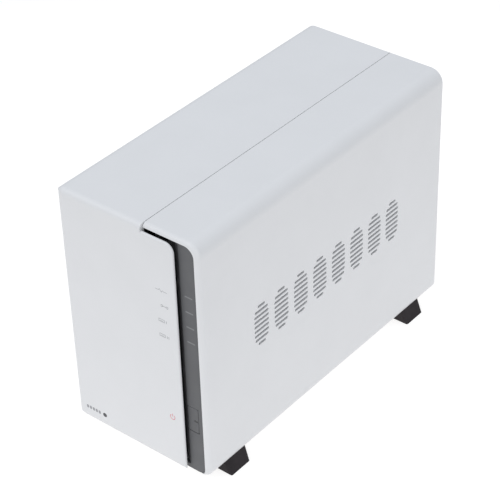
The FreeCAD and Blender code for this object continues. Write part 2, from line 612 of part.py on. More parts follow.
def steel_chassis():
    """Bent steel sheet: the rear panel with its grille and socket holes, and the tray under the boards."""
    x0, x1, _, z1, radii = shell_outline(WALL + 0.4)
    radii[2] = radii[3] = 1.0
    panel = prism(x0, x1, TRAY_Z, z1, radii, CHASSIS_FRONT_Y, CHASSIS_REAR_Y)
    tray = box(-45.5, 45.5, -79, CHASSIS_REAR_Y, TRAY_Z, TRAY_TOP_Z)
    holes = fan_grille()
    reach = (CHASSIS_FRONT_Y - 2, CHASSIS_REAR_Y + 2)
    for x, z in COVER_SCREWS + CHASSIS_SCREWS + fan_screw_places():
        holes.append(rod((x, reach[0], z), (x, reach[1], z), 1.9))
    for x, y in TRAY_SCREWS + LEG_SCREWS + BOARD_HOLES:
        holes.append(rod((x, y, TRAY_Z - 2), (x, y, TRAY_TOP_Z + 2), M3_RADIUS + 0.1))
    sockets = (
        (POWER_JACK_X, 9.0, 11.0),
        (NETWORK_JACK_X, 16.0, 13.6),
        (USB_JACK_X, 14.4, 16.0),
    )
    for x, width, height in sockets:
        low, high = BOARD_TOP_Z - 0.25, BOARD_TOP_Z + height + 0.25
        holes.append(box(x - width / 2 - 0.25, x + width / 2 + 0.25, *reach, low, high))
    holes.append(rod((RESET_X, reach[0], RESET_Z), (RESET_X, reach[1], RESET_Z), 1.2))
    lock_x, lock_z = LOCK_SLOT
    holes.append(prism(lock_x - 3.5, lock_x + 3.5, lock_z - 1.5, lock_z + 1.5, (1, 1, 1, 1), *reach))
    for column in range(11):
        x = -32.0 + column * 6.4
        holes.append(prism(x - 1.2, x + 1.2, 40.0, 54.0, (1.2, 1.2, 1.2, 1.2), *reach))
    for row in range(4):
        for x in (-27, -13.5, 0, 13.5):
            y = -58 + row * 26
            holes.append(box(x - 4.5, x + 4.5, y, y + 8, TRAY_Z - 1, TRAY_TOP_Z + 1))
    return without(joined([panel, tray]), holes)


def drive_cage():
    """Sheet steel box, open at both ends, on four legs that stand on the tray."""
    x0, x1 = CAGE_X
    y0, y1 = CAGE_Y
    z0, z1 = CAGE_Z
    tube_body = prism(x0, x1, z0, z1, (1.5, 1.5, 1.5, 1.5), y0, y1)
    hollow = prism(x0 + STEEL, x1 - STEEL, z0 + STEEL, z1 - STEEL, (0.5, 0.5, 0.5, 0.5), y0 - 1, y1 + 1)
    cage = without(tube_body, [hollow])
    parts = [cage]
    for leg_y in (-74, 47):
        parts.append(box(x0, x0 + STEEL, leg_y, leg_y + 14, TRAY_TOP_Z, z0 + 3))
        parts.append(box(x1 - STEEL, x1, leg_y, leg_y + 14, TRAY_TOP_Z, z0 + 3))
        parts.append(box(x1 - STEEL, x1 + 10, leg_y, leg_y + 14, TRAY_TOP_Z, TRAY_TOP_Z + STEEL))
    parts.append(box(x0, x0 + 12, -74, -60, TRAY_TOP_Z, TRAY_TOP_Z + STEEL))
    holes = []
    for x, y in LEG_SCREWS:
        holes.append(rod((x, y, TRAY_TOP_Z - 1), (x, y, TRAY_TOP_Z + 3), M3_RADIUS + 0.1))
    for x, y in disk_screw_places():
        for z in CAGE_Z:
            holes.append(rod((x, y, z - 2), (x, y, z + 2), 1.9))
    for window_y0, window_y1 in CAGE_WINDOWS_Y:
        holes.append(prism_x(x0 - 1, x1 + 1, window_y0, window_y1, *CAGE_WINDOWS_Z, 4.0))
    return without(joined(parts), holes)


def prism_x(x0, x1, y0, y1, z0, z1, radius):
    """A box along X whose four long edges are rounded."""
    body = box(x0, x1, y0, y1, z0, z1)
    along = [e for e in body.Edges if e.BoundBox.XMax - e.BoundBox.XMin > 0.5 * (x1 - x0)]
    return body.makeFillet(radius, along)


def disk_screw_places():
    """x and y of the screws that hold the disks, the same above and below."""
    places = []
    for left in DISK_LEFT_X:
        for y in DISK_HOLE_Y:
            places.append((left + DISK_THICKNESS - DISK_HOLE_INSET, y))
    return places


def fan_screw_places():
    """x and z of the fan's four corner screws."""
    half = FAN_HOLE_PITCH / 2
    return tuple((x, FAN_Z + z) for x in (-half, half) for z in (-half, half))


# ---- fan ------------------------------------------------------------------------------------------
def fan_frame():
    """Square fan housing with a round duct, four corner holes, four struts and the motor mount."""
    half = FAN_SIDE / 2
    rear = CHASSIS_FRONT_Y
    frame = prism(-half, half, FAN_Z - half, FAN_Z + half, (5, 5, 5, 5), FAN_FRONT_Y, rear)
    duct = rod((0, FAN_FRONT_Y - 1, FAN_Z), (0, rear + 1, FAN_Z), FAN_DUCT_RADIUS)
    beyond, within = half + 1, half - FAN_WAIST
    low, high = FAN_FRONT_Y + 4, rear - 4
    waist = prism(-beyond, beyond, FAN_Z - beyond, FAN_Z + beyond, (6, 6, 6, 6), low, high)
    core = prism(-within, within, FAN_Z - within, FAN_Z + within, (4, 4, 4, 4), FAN_FRONT_Y, rear)
    waist = waist.cut(core)
    ring = without(frame, [duct, waist])
    mount = rod((0, rear - 3.5, FAN_Z), (0, rear - 0.3, FAN_Z), FAN_HUB_RADIUS)
    post = rod((0, rear - 18, FAN_Z), (0, rear - 3, FAN_Z), 3.4)
    struts = []
    for turn in range(4):
        bar = box(-1.4, 1.4, rear - 3.3, rear - 0.4, FAN_Z + 8, FAN_Z + FAN_DUCT_RADIUS + 0.6)
        bar.rotate(Vector(0, 0, FAN_Z), Vector(0, 1, 0), 45 + 90 * turn)
        struts.append(bar)
    pilot = M3_RADIUS + 0.05
    holes = [rod((x, FAN_FRONT_Y - 1, z), (x, rear + 1, z), pilot) for x, z in fan_screw_places()]
    return without(joined([ring, mount, post] + struts), holes)


def fan_blade():
    """One swept blade that springs from the hub, twisted so that it drives air towards the rear."""
    low, high = FAN_FRONT_Y + 3.0, CHASSIS_FRONT_Y - 6.5
    sections = []
    for radius, lag, chord in ((FAN_HUB_RADIUS - 1.0, 0, 34), (30.0, 7, 30), (FAN_DUCT_RADIUS - 1.4, 16, 27)):
        turn = math.radians(lag)
        spread = math.radians(chord / 2)
        ends = []
        for side, y in ((-1, low), (1, high)):
            angle = turn + side * spread
            ends.append(Vector(radius * math.sin(angle), y, radius * math.cos(angle)))
        along = (ends[1] - ends[0]).normalize()
        across = along.cross(Vector(math.sin(turn), 0, math.cos(turn))).normalize() * 0.75
        bow = across.normalize() * 2.6
        middle = (ends[0] + ends[1]) * 0.5 + bow
        thick = across * 0.28
        edges = [
            Part.Arc(ends[0] - thick, middle - thick, ends[1] - thick).toShape(),
            Part.makeLine(ends[1] - thick, ends[1] + thick),
            Part.Arc(ends[1] + thick, middle + thick * 2, ends[0] + thick).toShape(),
            Part.makeLine(ends[0] + thick, ends[0] - thick),
        ]
        sections.append(Part.Wire(edges))
    return Part.makeLoft(sections, True, False)


def fan_rotor():
    """Hub cap and blades, turning on the motor post."""
    rear = CHASSIS_FRONT_Y - 4.2
    hub = rod((0, FAN_FRONT_Y + 2.0, 0), (0, rear, 0), FAN_HUB_RADIUS)
    hub = rounded_edges(hub, 1.5, FAN_FRONT_Y + 2.0)
    blade = fan_blade()
    parts = [hub]
    for index in range(FAN_BLADES):
        copy = blade.copy()
        copy.rotate(Vector(0, 0, 0), Vector(0, 1, 0), index * 360 / FAN_BLADES)
        parts.append(copy)
    hollow = without(
        rod((0, FAN_FRONT_Y + 4.0, 0), (0, rear + 1, 0), FAN_HUB_RADIUS - 1.6),
        [rod((0, FAN_FRONT_Y, 0), (0, rear - 1.0, 0), 5.6)],
    )
    bore = rod((0, CHASSIS_FRONT_Y - 18.1, 0), (0, rear + 2, 0), 3.45)
    rotor = without(joined(parts), [hollow, bore])
    rotor.translate(Vector(0, 0, FAN_Z))
    return rotor


def fan_motor():
    """Four wound poles on a small round board, fixed to the motor mount inside the hub."""
    rear = CHASSIS_FRONT_Y - 3.5
    board = rod((0, rear - 1.2, FAN_Z), (0, rear, FAN_Z), 13.5)
    poles = []
    for turn in range(4):
        pole = box(-3.4, 3.4, rear - 9.5, rear - 1, FAN_Z + 6.6, FAN_Z + 13.4)
        pole.rotate(Vector(0, 0, FAN_Z), Vector(0, 1, 0), 90 * turn)
        poles.append(pole)
    return without(joined([board] + poles), [rod((0, rear - 12, FAN_Z), (0, rear + 1, FAN_Z), 6.1)])


def fan_lead():
    """Lead from the fan's lower edge to its header on the main board."""
    header_x, header_y, header_z = FAN_HEADER
    points = (
        (22.0, FAN_FRONT_Y + 12, FAN_Z - FAN_SIDE / 2 + FAN_WAIST),
        (22.0, FAN_FRONT_Y + 12, FAN_Z - FAN_SIDE / 2 - 7),
        (18.0, FAN_FRONT_Y + 9, FAN_Z - FAN_SIDE / 2 - 18),
        (11.0, header_y + 1, FAN_Z - FAN_SIDE / 2 - 25),
        (header_x, header_y, header_z + 9),
        (header_x, header_y, header_z),
    )
    return tube(points, 1.2)


# ---- main board -----------------------------------------------------------------------------------
def mainboard():
    """The main circuit board."""
    board = box(*BOARD_X, *BOARD_Y, BOARD_Z, BOARD_TOP_Z)
    return without(board, [rod((x, y, 0), (x, y, 30), M3_RADIUS + 0.1) for x, y in BOARD_HOLES])


def mainboard_standoffs():
    """Four threaded pillars between the tray and the main board."""
    pillars = []
    for x, y in BOARD_HOLES:
        pillar = rod((x, y, TRAY_TOP_Z), (x, y, BOARD_Z), 2.8)
        pillars.append(pillar.cut(rod((x, y, TRAY_TOP_Z - 1), (x, y, BOARD_Z + 1), M3_RADIUS + 0.1)))
    return Part.makeCompound(pillars)


def on_board(x0, x1, y0, y1, height):
    """A box that stands on the main board."""
    return box(x0, x1, y0, y1, BOARD_TOP_Z, BOARD_TOP_Z + height)


def processor():
    """The processor package."""
    return on_board(-22, -5, 8, 25, 1.6)


def processor_heatsink():
    """Finned aluminium block on the processor."""
    base_z = BOARD_TOP_Z + 1.6
    base = box(-27, 0, 3, 30, base_z, base_z + 2.5)
    fins = [box(-27 + i * 3.2, -27 + i * 3.2 + 1.4, 3, 30, base_z + 2, base_z + 13) for i in range(9)]
    return joined([base] + fins)


def memory_chips():
    """Two memory chips and a flash chip."""
    spots = ((6, -9, 9, 13), (6, 6, 9, 13), (-33, -10, 12, 10))
    return Part.makeCompound([on_board(x, x + w, y, y + h, 1.1) for x, y, w, h in spots])


def capacitors():
    """Round electrolytic capacitors beside the power input."""
    spots = ((-33, 44), (-33, 53), (-25, 44), (-25, 53), (18, 38))
    top = BOARD_TOP_Z + 8.5
    return Part.makeCompound([rod((x, y, BOARD_TOP_Z), (x, y, top), 3.1) for x, y in spots])


def inductors():
    """Moulded power inductors."""
    return Part.makeCompound([on_board(x, x + 7, y, y + 7, 3.6) for x, y in ((-17, 40), (-7, 40), (-17, 50))])


def clock_battery():
    """Coin cell lying in its holder, for the clock."""
    x, y = -8.5, -10.0
    cell = rod((x, y, BOARD_TOP_Z + 1), (x, y, BOARD_TOP_Z + 4.2), 10.0)
    cell = cell.makeFillet(0.6, [e for e in cell.Edges if abs(e.CenterOfMass.z - BOARD_TOP_Z - 4.2) < 1e-4])
    holder = rod((x, y, BOARD_TOP_Z), (x, y, BOARD_TOP_Z + 1.2), 11.0)
    clip = on_board(x - 3, x + 3, y - 12.5, y - 8.5, 5.0)
    return joined([cell, holder, clip])


def board_headers():
    """Pin headers for the front board's lead and for the fan's lead."""
    front = on_board(9.5, 18.5, HEADER_FRONT_Y, HEADER_FRONT_Y + 4, 5.8)
    x, y, top = FAN_HEADER
    fan = on_board(x - 5, x + 5, y - 2.5, y + 2.5, top - BOARD_TOP_Z)
    return Part.makeCompound([front, fan])


def riser_slot():
    """Edge connector on the main board that takes the disk riser."""
    middle = RISER_Y + RISER_THICKNESS / 2
    body = on_board(-26, 6, middle - 3.5, middle + 3.5, 11)
    gap = box(-24.8, 4.8, RISER_Y - 0.1, RISER_Y + RISER_THICKNESS + 0.1, BOARD_TOP_Z + 3, BOARD_TOP_Z + 12)
    return without(body, [gap])


def disk_connector_z():
    """Low and high z of a disk's connector."""
    return DISK_Z + 8.0, DISK_Z + 50.0


def disk_connector_x(left):
    """x of the middle of a disk's connector tongue."""
    return left + DISK_THICKNESS - 5.0


def disk_riser():
    """Upright circuit board that joins both disks to the main board."""
    rear = RISER_Y + RISER_THICKNESS
    body = box(-35, 24, RISER_Y, rear, 28.5, 99)
    tongue = box(-24.6, 4.6, RISER_Y, rear, BOARD_TOP_Z + 3, 29)
    windows = [box(-9.8, -5.0, RISER_Y - 1, rear + 1, 40, 92), box(-31, -21, RISER_Y - 1, rear + 1, 44, 90)]
    return without(joined([body, tongue]), windows)


def riser_connectors():
    """Two combined data and power receptacles, one for each disk."""
    z0, z1 = disk_connector_z()
    receptacles = []
    for left in DISK_LEFT_X:
        x = disk_connector_x(left)
        body = box(x - 2.7, x + 2.7, DISK_REAR_Y - 3.6, RISER_Y, z0 - 1, z1 + 1)
        slot = box(x - 0.7, x + 0.7, DISK_REAR_Y - 5, DISK_REAR_Y + 2.6, z0 - 0.2, z1 + 0.2)
        receptacles.append(body.cut(slot))
    return Part.makeCompound(receptacles)


def network_jack():
    """Shielded network socket with a stepped opening for the plug and its latch."""
    x = NETWORK_JACK_X
    rear = SOCKET_REAR_Y
    body = on_board(x - 8, x + 8, rear - 21, rear, 13.4)
    z = BOARD_TOP_Z + 2.4
    mouth = [
        box(x - 5.9, x + 5.9, rear - 14, rear + 1, z + 1.6, z + 8.6),
        box(x - 3.1, x + 3.1, rear - 14, rear + 1, z, z + 2),
        box(x - 1.6, x + 1.6, rear - 14, rear + 1, z - 1.2, z + 1),
    ]
    return without(body, mouth)


def network_jack_contacts():
    """Eight sprung contacts inside the network socket."""
    rear = SOCKET_REAR_Y
    top = BOARD_TOP_Z + 2.4 + 8.6
    wires = []
    for index in range(8):
        x = NETWORK_JACK_X - 3.57 + index * 1.02
        wires.append(box(x - 0.2, x + 0.2, rear - 14, rear - 3, top - 1.6, top - 1.1))
    return Part.makeCompound(wires)


def usb_jack():
    """Steel shell that holds two stacked USB sockets."""
    x = USB_JACK_X
    rear = SOCKET_REAR_Y
    body = on_board(x - 7.2, x + 7.2, rear - 17.5, rear, 15.8)
    mouths = []
    for base in (BOARD_TOP_Z + 1.0, BOARD_TOP_Z + 8.9):
        mouths.append(box(x - 6.55, x + 6.55, rear - 13, rear + 1, base, base + 5.8))
    return without(body, mouths)


def usb_tongues():
    """Plastic contact tongues of the two USB sockets."""
    x = USB_JACK_X
    rear = SOCKET_REAR_Y
    tongues = []
    for base in (BOARD_TOP_Z + 1.0, BOARD_TOP_Z + 8.9):
        tongues.append(box(x - 5.6, x + 5.6, rear - 13, rear - 1.2, base + 3.2, base + 5.0))
    return Part.makeCompound(tongues)


def power_jack():
    """Round power inlet with its centre pin."""
    x = POWER_JACK_X
    rear = SOCKET_REAR_Y
    z = BOARD_TOP_Z + 6.0
    body = on_board(x - 4.5, x + 4.5, rear - 14, rear, 10.8)
    body = without(body, [rod((x, rear - 10, z), (x, rear + 1, z), 3.2)])
    return joined([body, rod((x, rear - 11, z), (x, rear - 1.5, z), 1.0)])


def reset_switch_body():
    """Small sideways push switch behind the reset hole."""
    rear = CHASSIS_FRONT_Y - 2.2
    body = on_board(RESET_X - 3.2, RESET_X + 3.2, rear - 4.5, rear, 7.2)
    return without(body, [rod((RESET_X, rear - 2.5, RESET_Z), (RESET_X, rear + 1, RESET_Z), 1.35)])


def reset_switch_plunger():
    """Plunger of the reset switch, just behind its hole in the rear panel."""
    rear = CHASSIS_FRONT_Y - 2.2
    return rod((RESET_X, rear - 1.9, RESET_Z), (RESET_X, rear + 1.9, RESET_Z), 1.25)


# ---- disks ----------------------------------------------------------------------------------------
def disk_body(left):
    """Cast aluminium body of a disk: open side to the left, board side to the right."""
    right = left + DISK_THICKNESS
    y0, y1 = DISK_FRONT_Y, DISK_REAR_Y
    z0, z1 = DISK_Z, DISK_Z + DISK_HEIGHT
    body = prism_x(left + 1.0, right, y0, y1, z0, z1, 3.0)
    hollow = [
        prism_x(left - 1, right - 6.0, y0 + 4, y1 - 8, z0 + 3.5, z1 - 3.5, 12.0),
        box(right - 1.6, right + 1, y0 + 40, y1 + 1, z0 + 6, z1 - 6),
    ]
    con_z0, con_z1 = disk_connector_z()
    middle = disk_connector_x(left)
    hollow.append(box(middle - 3.1, right + 1, y1 - 7, y1 + 1, con_z0 - 1.5, con_z1 + 1.5))
    for y in DISK_HOLE_Y:
        x = right - DISK_HOLE_INSET
        hollow.append(rod((x, y, z0 - 1), (x, y, z0 + 3.2), 1.75))
        hollow.append(rod((x, y, z1 - 3.2), (x, y, z1 + 1), 1.75))
    return without(body, hollow)


def disk_lid(left):
    """Pressed steel lid of a disk, with a raised round field over the platters."""
    z0, z1 = DISK_Z, DISK_Z + DISK_HEIGHT
    sheet = prism_x(left + 0.3, left + 1.0, DISK_FRONT_Y + 1, DISK_REAR_Y - 2, z0 + 1, z1 - 1, 3.0)
    middle_y, middle_z = DISK_FRONT_Y + 52, (z0 + z1) / 2
    raised = rod((left, middle_y, middle_z), (left + 0.6, middle_y, middle_z), 46)
    arm = rod((left, DISK_REAR_Y - 32, z0 + 26), (left + 0.6, DISK_REAR_Y - 32, z0 + 26), 20)
    return joined([sheet, raised, arm])


def disk_board(left):
    """Controller board of a disk."""
    right = left + DISK_THICKNESS
    con_z0, con_z1 = disk_connector_z()
    z0, z1 = DISK_Z + 7, DISK_Z + DISK_HEIGHT - 7
    board = box(right - 1.6, right - 0.4, DISK_FRONT_Y + 42, DISK_REAR_Y - 1, z0, z1)
    notch = box(right - 3, right + 1, DISK_REAR_Y - 7.2, DISK_REAR_Y + 1, con_z0 - 1.6, con_z1 + 1.6)
    return without(board, [notch])


def disk_connector(left):
    """Data and power tongue of a disk, with the block that carries it."""
    x = disk_connector_x(left)
    z0, z1 = disk_connector_z()
    block = box(x - 3.0, x + 3.0, DISK_REAR_Y - 7, DISK_REAR_Y - 3.8, z0 - 1.3, z1 + 1.3)
    tongue = box(x - 0.6, x + 0.6, DISK_REAR_Y - 4, DISK_REAR_Y + 1.5, z0, z1)
    return joined([block, tongue])


# ---- fasteners ------------------------------------------------------------------------------------
def rear_screws(places, length):
    """Pan screws that go forwards through the rear panel."""
    return Part.makeCompound([pan_screw((x, CHASSIS_REAR_Y, z), (0, 1, 0), length) for x, z in places])


def downward_screws(places, z, length):
    """Pan screws that go down, with their heads resting at z."""
    return Part.makeCompound([pan_screw((x, y, z), (0, 0, 1), length, height=2.0) for x, y in places])


def disk_screws():
    """Eight screws through the cage into the disks, four above and four below."""
    screws = []
    for x, y in disk_screw_places():
        screws.append(pan_screw((x, y, CAGE_Z[1]), (0, 0, 1), 3.2, 1.7, 3.2, 2.0))
        screws.append(pan_screw((x, y, CAGE_Z[0]), (0, 0, -1), 3.2, 1.7, 3.2, 2.0))
    return Part.makeCompound(screws)


def front_board_screws():
    """Two small screws that hold the front board to the bezel's posts."""
    rear = FRONT_BOARD_Y + FRONT_BOARD_THICKNESS
    return Part.makeCompound([pan_screw((x, rear, z), (0, 1, 0), 4.5, 1.0, 1.9, 1.5) for x, z in BOARD_POSTS])


# ---- the assembly ---------------------------------------------------------------------------------
def assembly():
    """Every node's name and shape."""
    parts = {"left_cover": left_cover(), "base_shell": base_shell(), "front_bezel": front_bezel()}
    for side, name in ((-1, "left"), (1, "right")):
        for end, y in FOOT_Y.items():
            parts[f"foot_{end}_{name}"] = foot(side, y)
    for index, name in enumerate(LIGHTS):
        parts[f"{name}_light_pipe"] = light_pipe(index)
    for number, left in enumerate(DISK_LEFT_X, start=1):
        parts[f"disk_{number}_body"] = disk_body(left)
        parts[f"disk_{number}_lid"] = disk_lid(left)
        parts[f"disk_{number}_board"] = disk_board(left)
        parts[f"disk_{number}_connector"] = disk_connector(left)
    makers = (
        power_button, power_button_lens, front_board, front_leds, power_switch_body, power_switch_plunger,
        front_board_socket, front_board_plug, front_board_lead, front_board_screws, steel_chassis, drive_cage,
        fan_frame, fan_motor, fan_rotor, fan_lead, mainboard, mainboard_standoffs, processor,
        processor_heatsink, memory_chips, capacitors, inductors, clock_battery, board_headers, riser_slot,
        disk_riser, riser_connectors, network_jack, network_jack_contacts, usb_jack, usb_tongues, power_jack,
        reset_switch_body, reset_switch_plunger, disk_screws,
    )
    for maker in makers:
        parts[maker.__name__] = maker()
    parts["cover_screws"] = rear_screws(COVER_SCREWS, 8.0)
    parts["chassis_screws"] = rear_screws(CHASSIS_SCREWS, 8.0)
    parts["fan_screws"] = rear_screws(fan_screw_places(), 9.0)
    tray = downward_screws(TRAY_SCREWS, TRAY_TOP_Z, 3.0)
    parts["tray_screws"] = Part.makeCompound([tray, downward_screws(LEG_SCREWS, TRAY_TOP_Z + STEEL, 1.6)])
    parts["mainboard_screws"] = downward_screws(BOARD_HOLES, BOARD_TOP_Z, 5.0)
    return parts


os.makedirs("parts", exist_ok=True)
for node, shape in assembly().items():
    assert shape.isValid(), node
    shape.exportStep(f"parts/{node}.step")
    print(f"{node:24s} solids {len(shape.Solids)}  volume {shape.Volume:10.1f}")
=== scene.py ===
"""Looks of a two-bay desktop network storage box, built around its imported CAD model.

The CAD parts keep their shapes and get procedural materials. New pieces add what the CAD leaves
plain: the printed marks, the boards' small components, the wires, the labels and the disks' trim.
The model's own frame is used: +Z up, the front towards -Y, the dark strip on the +X side. Sizes and
places of pieces are written in millimetres; cameras, lamps and materials count in metres.
"""
import json
import math
import random

import bmesh
import bpy
from mathutils import Matrix, Vector


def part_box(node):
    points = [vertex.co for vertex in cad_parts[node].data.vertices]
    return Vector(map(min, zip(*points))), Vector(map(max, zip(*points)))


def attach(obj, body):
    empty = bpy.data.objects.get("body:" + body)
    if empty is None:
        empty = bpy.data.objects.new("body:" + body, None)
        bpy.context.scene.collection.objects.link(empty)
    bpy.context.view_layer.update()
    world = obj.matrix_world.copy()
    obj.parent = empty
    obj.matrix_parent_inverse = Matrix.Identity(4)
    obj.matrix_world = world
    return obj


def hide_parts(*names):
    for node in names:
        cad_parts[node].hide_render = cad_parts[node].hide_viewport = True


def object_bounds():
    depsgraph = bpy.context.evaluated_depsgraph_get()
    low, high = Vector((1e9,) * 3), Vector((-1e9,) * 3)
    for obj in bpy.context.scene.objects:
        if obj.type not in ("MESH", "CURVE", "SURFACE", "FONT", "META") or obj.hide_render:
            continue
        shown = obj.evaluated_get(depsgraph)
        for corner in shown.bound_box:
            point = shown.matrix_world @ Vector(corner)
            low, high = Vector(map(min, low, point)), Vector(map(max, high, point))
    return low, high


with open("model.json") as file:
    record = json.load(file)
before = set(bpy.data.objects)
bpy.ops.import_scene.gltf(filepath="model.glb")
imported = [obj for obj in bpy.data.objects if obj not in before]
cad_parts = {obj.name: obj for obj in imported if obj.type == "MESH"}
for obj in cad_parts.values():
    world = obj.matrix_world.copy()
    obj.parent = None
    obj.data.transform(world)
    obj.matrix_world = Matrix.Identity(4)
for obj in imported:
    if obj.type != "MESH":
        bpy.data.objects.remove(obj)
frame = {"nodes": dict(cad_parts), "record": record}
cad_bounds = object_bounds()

MM = 0.001
NODES = frame["nodes"]
LOW, HIGH = map(Vector, cad_bounds)
CENTRE = (LOW + HIGH) / 2

# ---- camera and light -----------------------------------------------------------------------------
CAMERA_AZIMUTH = 40.0
CAMERA_ELEVATION = 35.65
CAMERA_ROLL = -1.87
CAMERA_DISTANCE = 1.03
CAMERA_AIM = CENTRE + Vector((-3.7, -5.6, -1.8)) * MM
SENSOR = 36.0
FOCAL_LENGTH = 126.66
FLOOR_SIZE = 30.0
FLOOR_GREY = 0.30
FLOOR_GLOW_COLOUR = (1.0, 0.992, 0.985)
FLOOR_GLOW_NEAR = 0.80
FLOOR_GLOW_FAR = 0.24
FLOOR_GLOW_REACH = (0.30, 1.10)
DOME_AT_HORIZON = 0.45
DOME_OVERHEAD = 0.97
DOME_COLOUR = (0.945, 0.99, 1.045)
KEY_DIRECTION = (-0.30, -0.55, 0.78)
KEY_POWER = 38.0
SIDE_DIRECTION = (0.85, -0.45, 0.25)
SIDE_POWER = 25.0
LAMP_DISTANCE = 4.0
LAMP_SIZE = 2.0


# ---- material building blocks ---------------------------------------------------------------------
class Surface:
    """A Principled material and short ways to feed its sockets from procedural textures."""

    def __init__(self, name):
        self.material = bpy.data.materials.new(name)
        self.material.use_nodes = True
        self.tree = self.material.node_tree
        self.shader = self.tree.nodes["Principled BSDF"]
        self.place = self.add("ShaderNodeTexCoord").outputs["Object"]

    def add(self, kind, **settings):
        node = self.tree.nodes.new(kind)
        for key, value in settings.items():
            setattr(node, key, value)
        return node

    def link(self, output, target):
        self.tree.links.new(output, target)

    def feed(self, socket, output):
        """Links an output to one of the shader's own sockets."""
        self.link(output, self.shader.inputs[socket])

    def set(self, **sockets):
        for key, value in sockets.items():
            socket = key.replace("_", " ").title().replace("Ior", "IOR")
            self.shader.inputs[socket].default_value = value

    def stretched(self, scale):
        """Object coordinates scaled by a different amount along each axis."""
        mapping = self.add("ShaderNodeMapping")
        self.link(self.place, mapping.inputs["Vector"])
        mapping.inputs["Scale"].default_value = scale
        return mapping.outputs["Vector"]

    def pattern(self, kind, size, vector=None, **settings):
        """A texture node whose features are about size metres across."""
        node = self.add(kind, **settings)
        self.link(vector or self.place, node.inputs["Vector"])
        node.inputs["Scale"].default_value = 1.0 / size
        return node

    def noise(self, size, detail=3.0, rough=0.55, vector=None):
        node = self.pattern("ShaderNodeTexNoise", size, vector)
        node.inputs["Detail"].default_value = detail
        node.inputs["Roughness"].default_value = rough
        return node.outputs["Fac"]

    def ramp(self, value, stops):
        """A colour ramp. stops: (position, grey level or colour)."""
        node = self.add("ShaderNodeValToRGB")
        self.link(value, node.inputs["Fac"])
        elements = node.color_ramp.elements
        while len(elements) < len(stops):
            elements.new(0.5)
        for element, (position, colour) in zip(elements, stops):
            element.position = position
            element.color = rgba(colour)
        return node.outputs["Color"]

    def spread(self, value, low, high):
        """Maps the middle of a noise's span to low..high."""
        node = self.add("ShaderNodeMapRange")
        self.link(value, node.inputs["Value"])
        node.inputs["From Min"].default_value = 0.3
        node.inputs["From Max"].default_value = 0.7
        node.inputs["To Min"].default_value = low
        node.inputs["To Max"].default_value = high
        return node.outputs["Result"]

    def mix(self, factor, a, b):
        """Mixes two colours, each an output or a plain colour."""
        node = self.add("ShaderNodeMix", data_type="RGBA")
        self.link(factor, node.inputs["Factor"])
        # Sockets 6 and 7 are the mix node's two colours, and output 2 is the mixed one.
        for socket, value in ((node.inputs[6], a), (node.inputs[7], b)):
            if isinstance(value, bpy.types.NodeSocket):
                self.link(value, socket)
            else:
                socket.default_value = rgba(value)
        return node.outputs[2]

    def bump(self, height, depth):
        """A bump map of real depth, in metres."""
        node = self.add("ShaderNodeBump")
        node.inputs["Strength"].default_value = 1.0
        node.inputs["Distance"].default_value = depth
        self.link(height, node.inputs["Height"])
        return node.outputs["Normal"]


def rgba(colour):
    """A colour with alpha, from a grey level or three numbers."""
    if isinstance(colour, (int, float)):
        return (colour, colour, colour, 1.0)
    return (*colour[:3], 1.0)


def shade(colour, factor):
    """The colour made lighter or darker."""
    return tuple(min(channel * factor, 1.0) for channel in colour[:3])


def two_tone(colour, mottle, low, high):
    """Ramp stops that go from a darker to a lighter shade of one colour."""
    return (low, shade(colour, 1 - mottle)), (high, shade(colour, 1 + mottle))


def moulded(name, colour, roughness, grain=0.5, depth=0.02, mottle=0.02, **sockets):
    """Moulded plastic or rubber: faint blotches of tone, uneven gloss and a fine grain.

    grain and depth are the width and the height of the grain, in millimetres.
    """
    surface = Surface(name)
    blotch = surface.noise(28 * MM, 4.0)
    gloss = surface.noise(9 * MM)
    fine = surface.noise(grain * MM, 2.0, 0.6)
    surface.feed("Base Color", surface.ramp(blotch, two_tone(colour, mottle, 0.35, 0.65)))
    surface.feed("Roughness", surface.spread(gloss, roughness * 0.9, roughness * 1.1))
    surface.feed("Normal", surface.bump(fine, depth * MM))
    surface.set(**sockets)
    return surface.material


def sheet_metal(name, colour, roughness, along=(1, 1, 1), depth=0.004, mottle=0.08):
    """Plain metal sheet: rolling streaks, faint blotches and uneven polish.

    along squeezes the streaks' pattern along each axis, and depth is their height in millimetres.
    """
    surface = Surface(name)
    streaks = surface.noise(0.6 * MM, 3.0, 0.6, surface.stretched(along))
    blotch = surface.noise(14 * MM, 5.0)
    surface.feed("Base Color", surface.ramp(blotch, two_tone(colour, mottle, 0.3, 0.7)))
    surface.feed("Roughness", surface.spread(streaks, roughness * 0.75, roughness * 1.25))
    surface.feed("Normal", surface.bump(streaks, depth * MM))
    surface.set(metallic=1.0)
    return surface.material


# ---- materials, one for each slot of the record ----------------------------------------------------
def housing_white():
    """Cool white satin plastic with a very fine spark-eroded grain."""
    return moulded("housing_white", (0.69, 0.69, 0.70), 0.42, grain=0.35, depth=0.006, mottle=0.008)


def bezel_grey():
    return moulded("bezel_grey", (0.093, 0.094, 0.099), 0.46, grain=0.3, depth=0.006, mottle=0.03)


def light_guide():
    return moulded("light_guide", (0.175, 0.178, 0.184), 0.3, grain=0.5, depth=0.002, mottle=0.03)


def rubber_black():
    return moulded("rubber_black", (0.023, 0.0185, 0.0205), 0.8, grain=0.45, depth=0.03, mottle=0.25,
                   specular_ior_level=0.35)


def galvanised_steel():
    """Zinc-plated sheet with faint crystals."""
    surface = Surface("galvanised_steel")
    crystals = surface.pattern("ShaderNodeTexVoronoi", 5 * MM)
    greys = ((0.1, (0.50, 0.51, 0.52)), (0.9, (0.62, 0.63, 0.64)))
    surface.feed("Base Color", surface.ramp(crystals.outputs["Color"], greys))
    surface.feed("Roughness", surface.spread(surface.noise(3 * MM), 0.34, 0.46))
    surface.feed("Normal", surface.bump(surface.noise(0.7 * MM), 0.004 * MM))
    surface.set(metallic=1.0)
    return surface.material


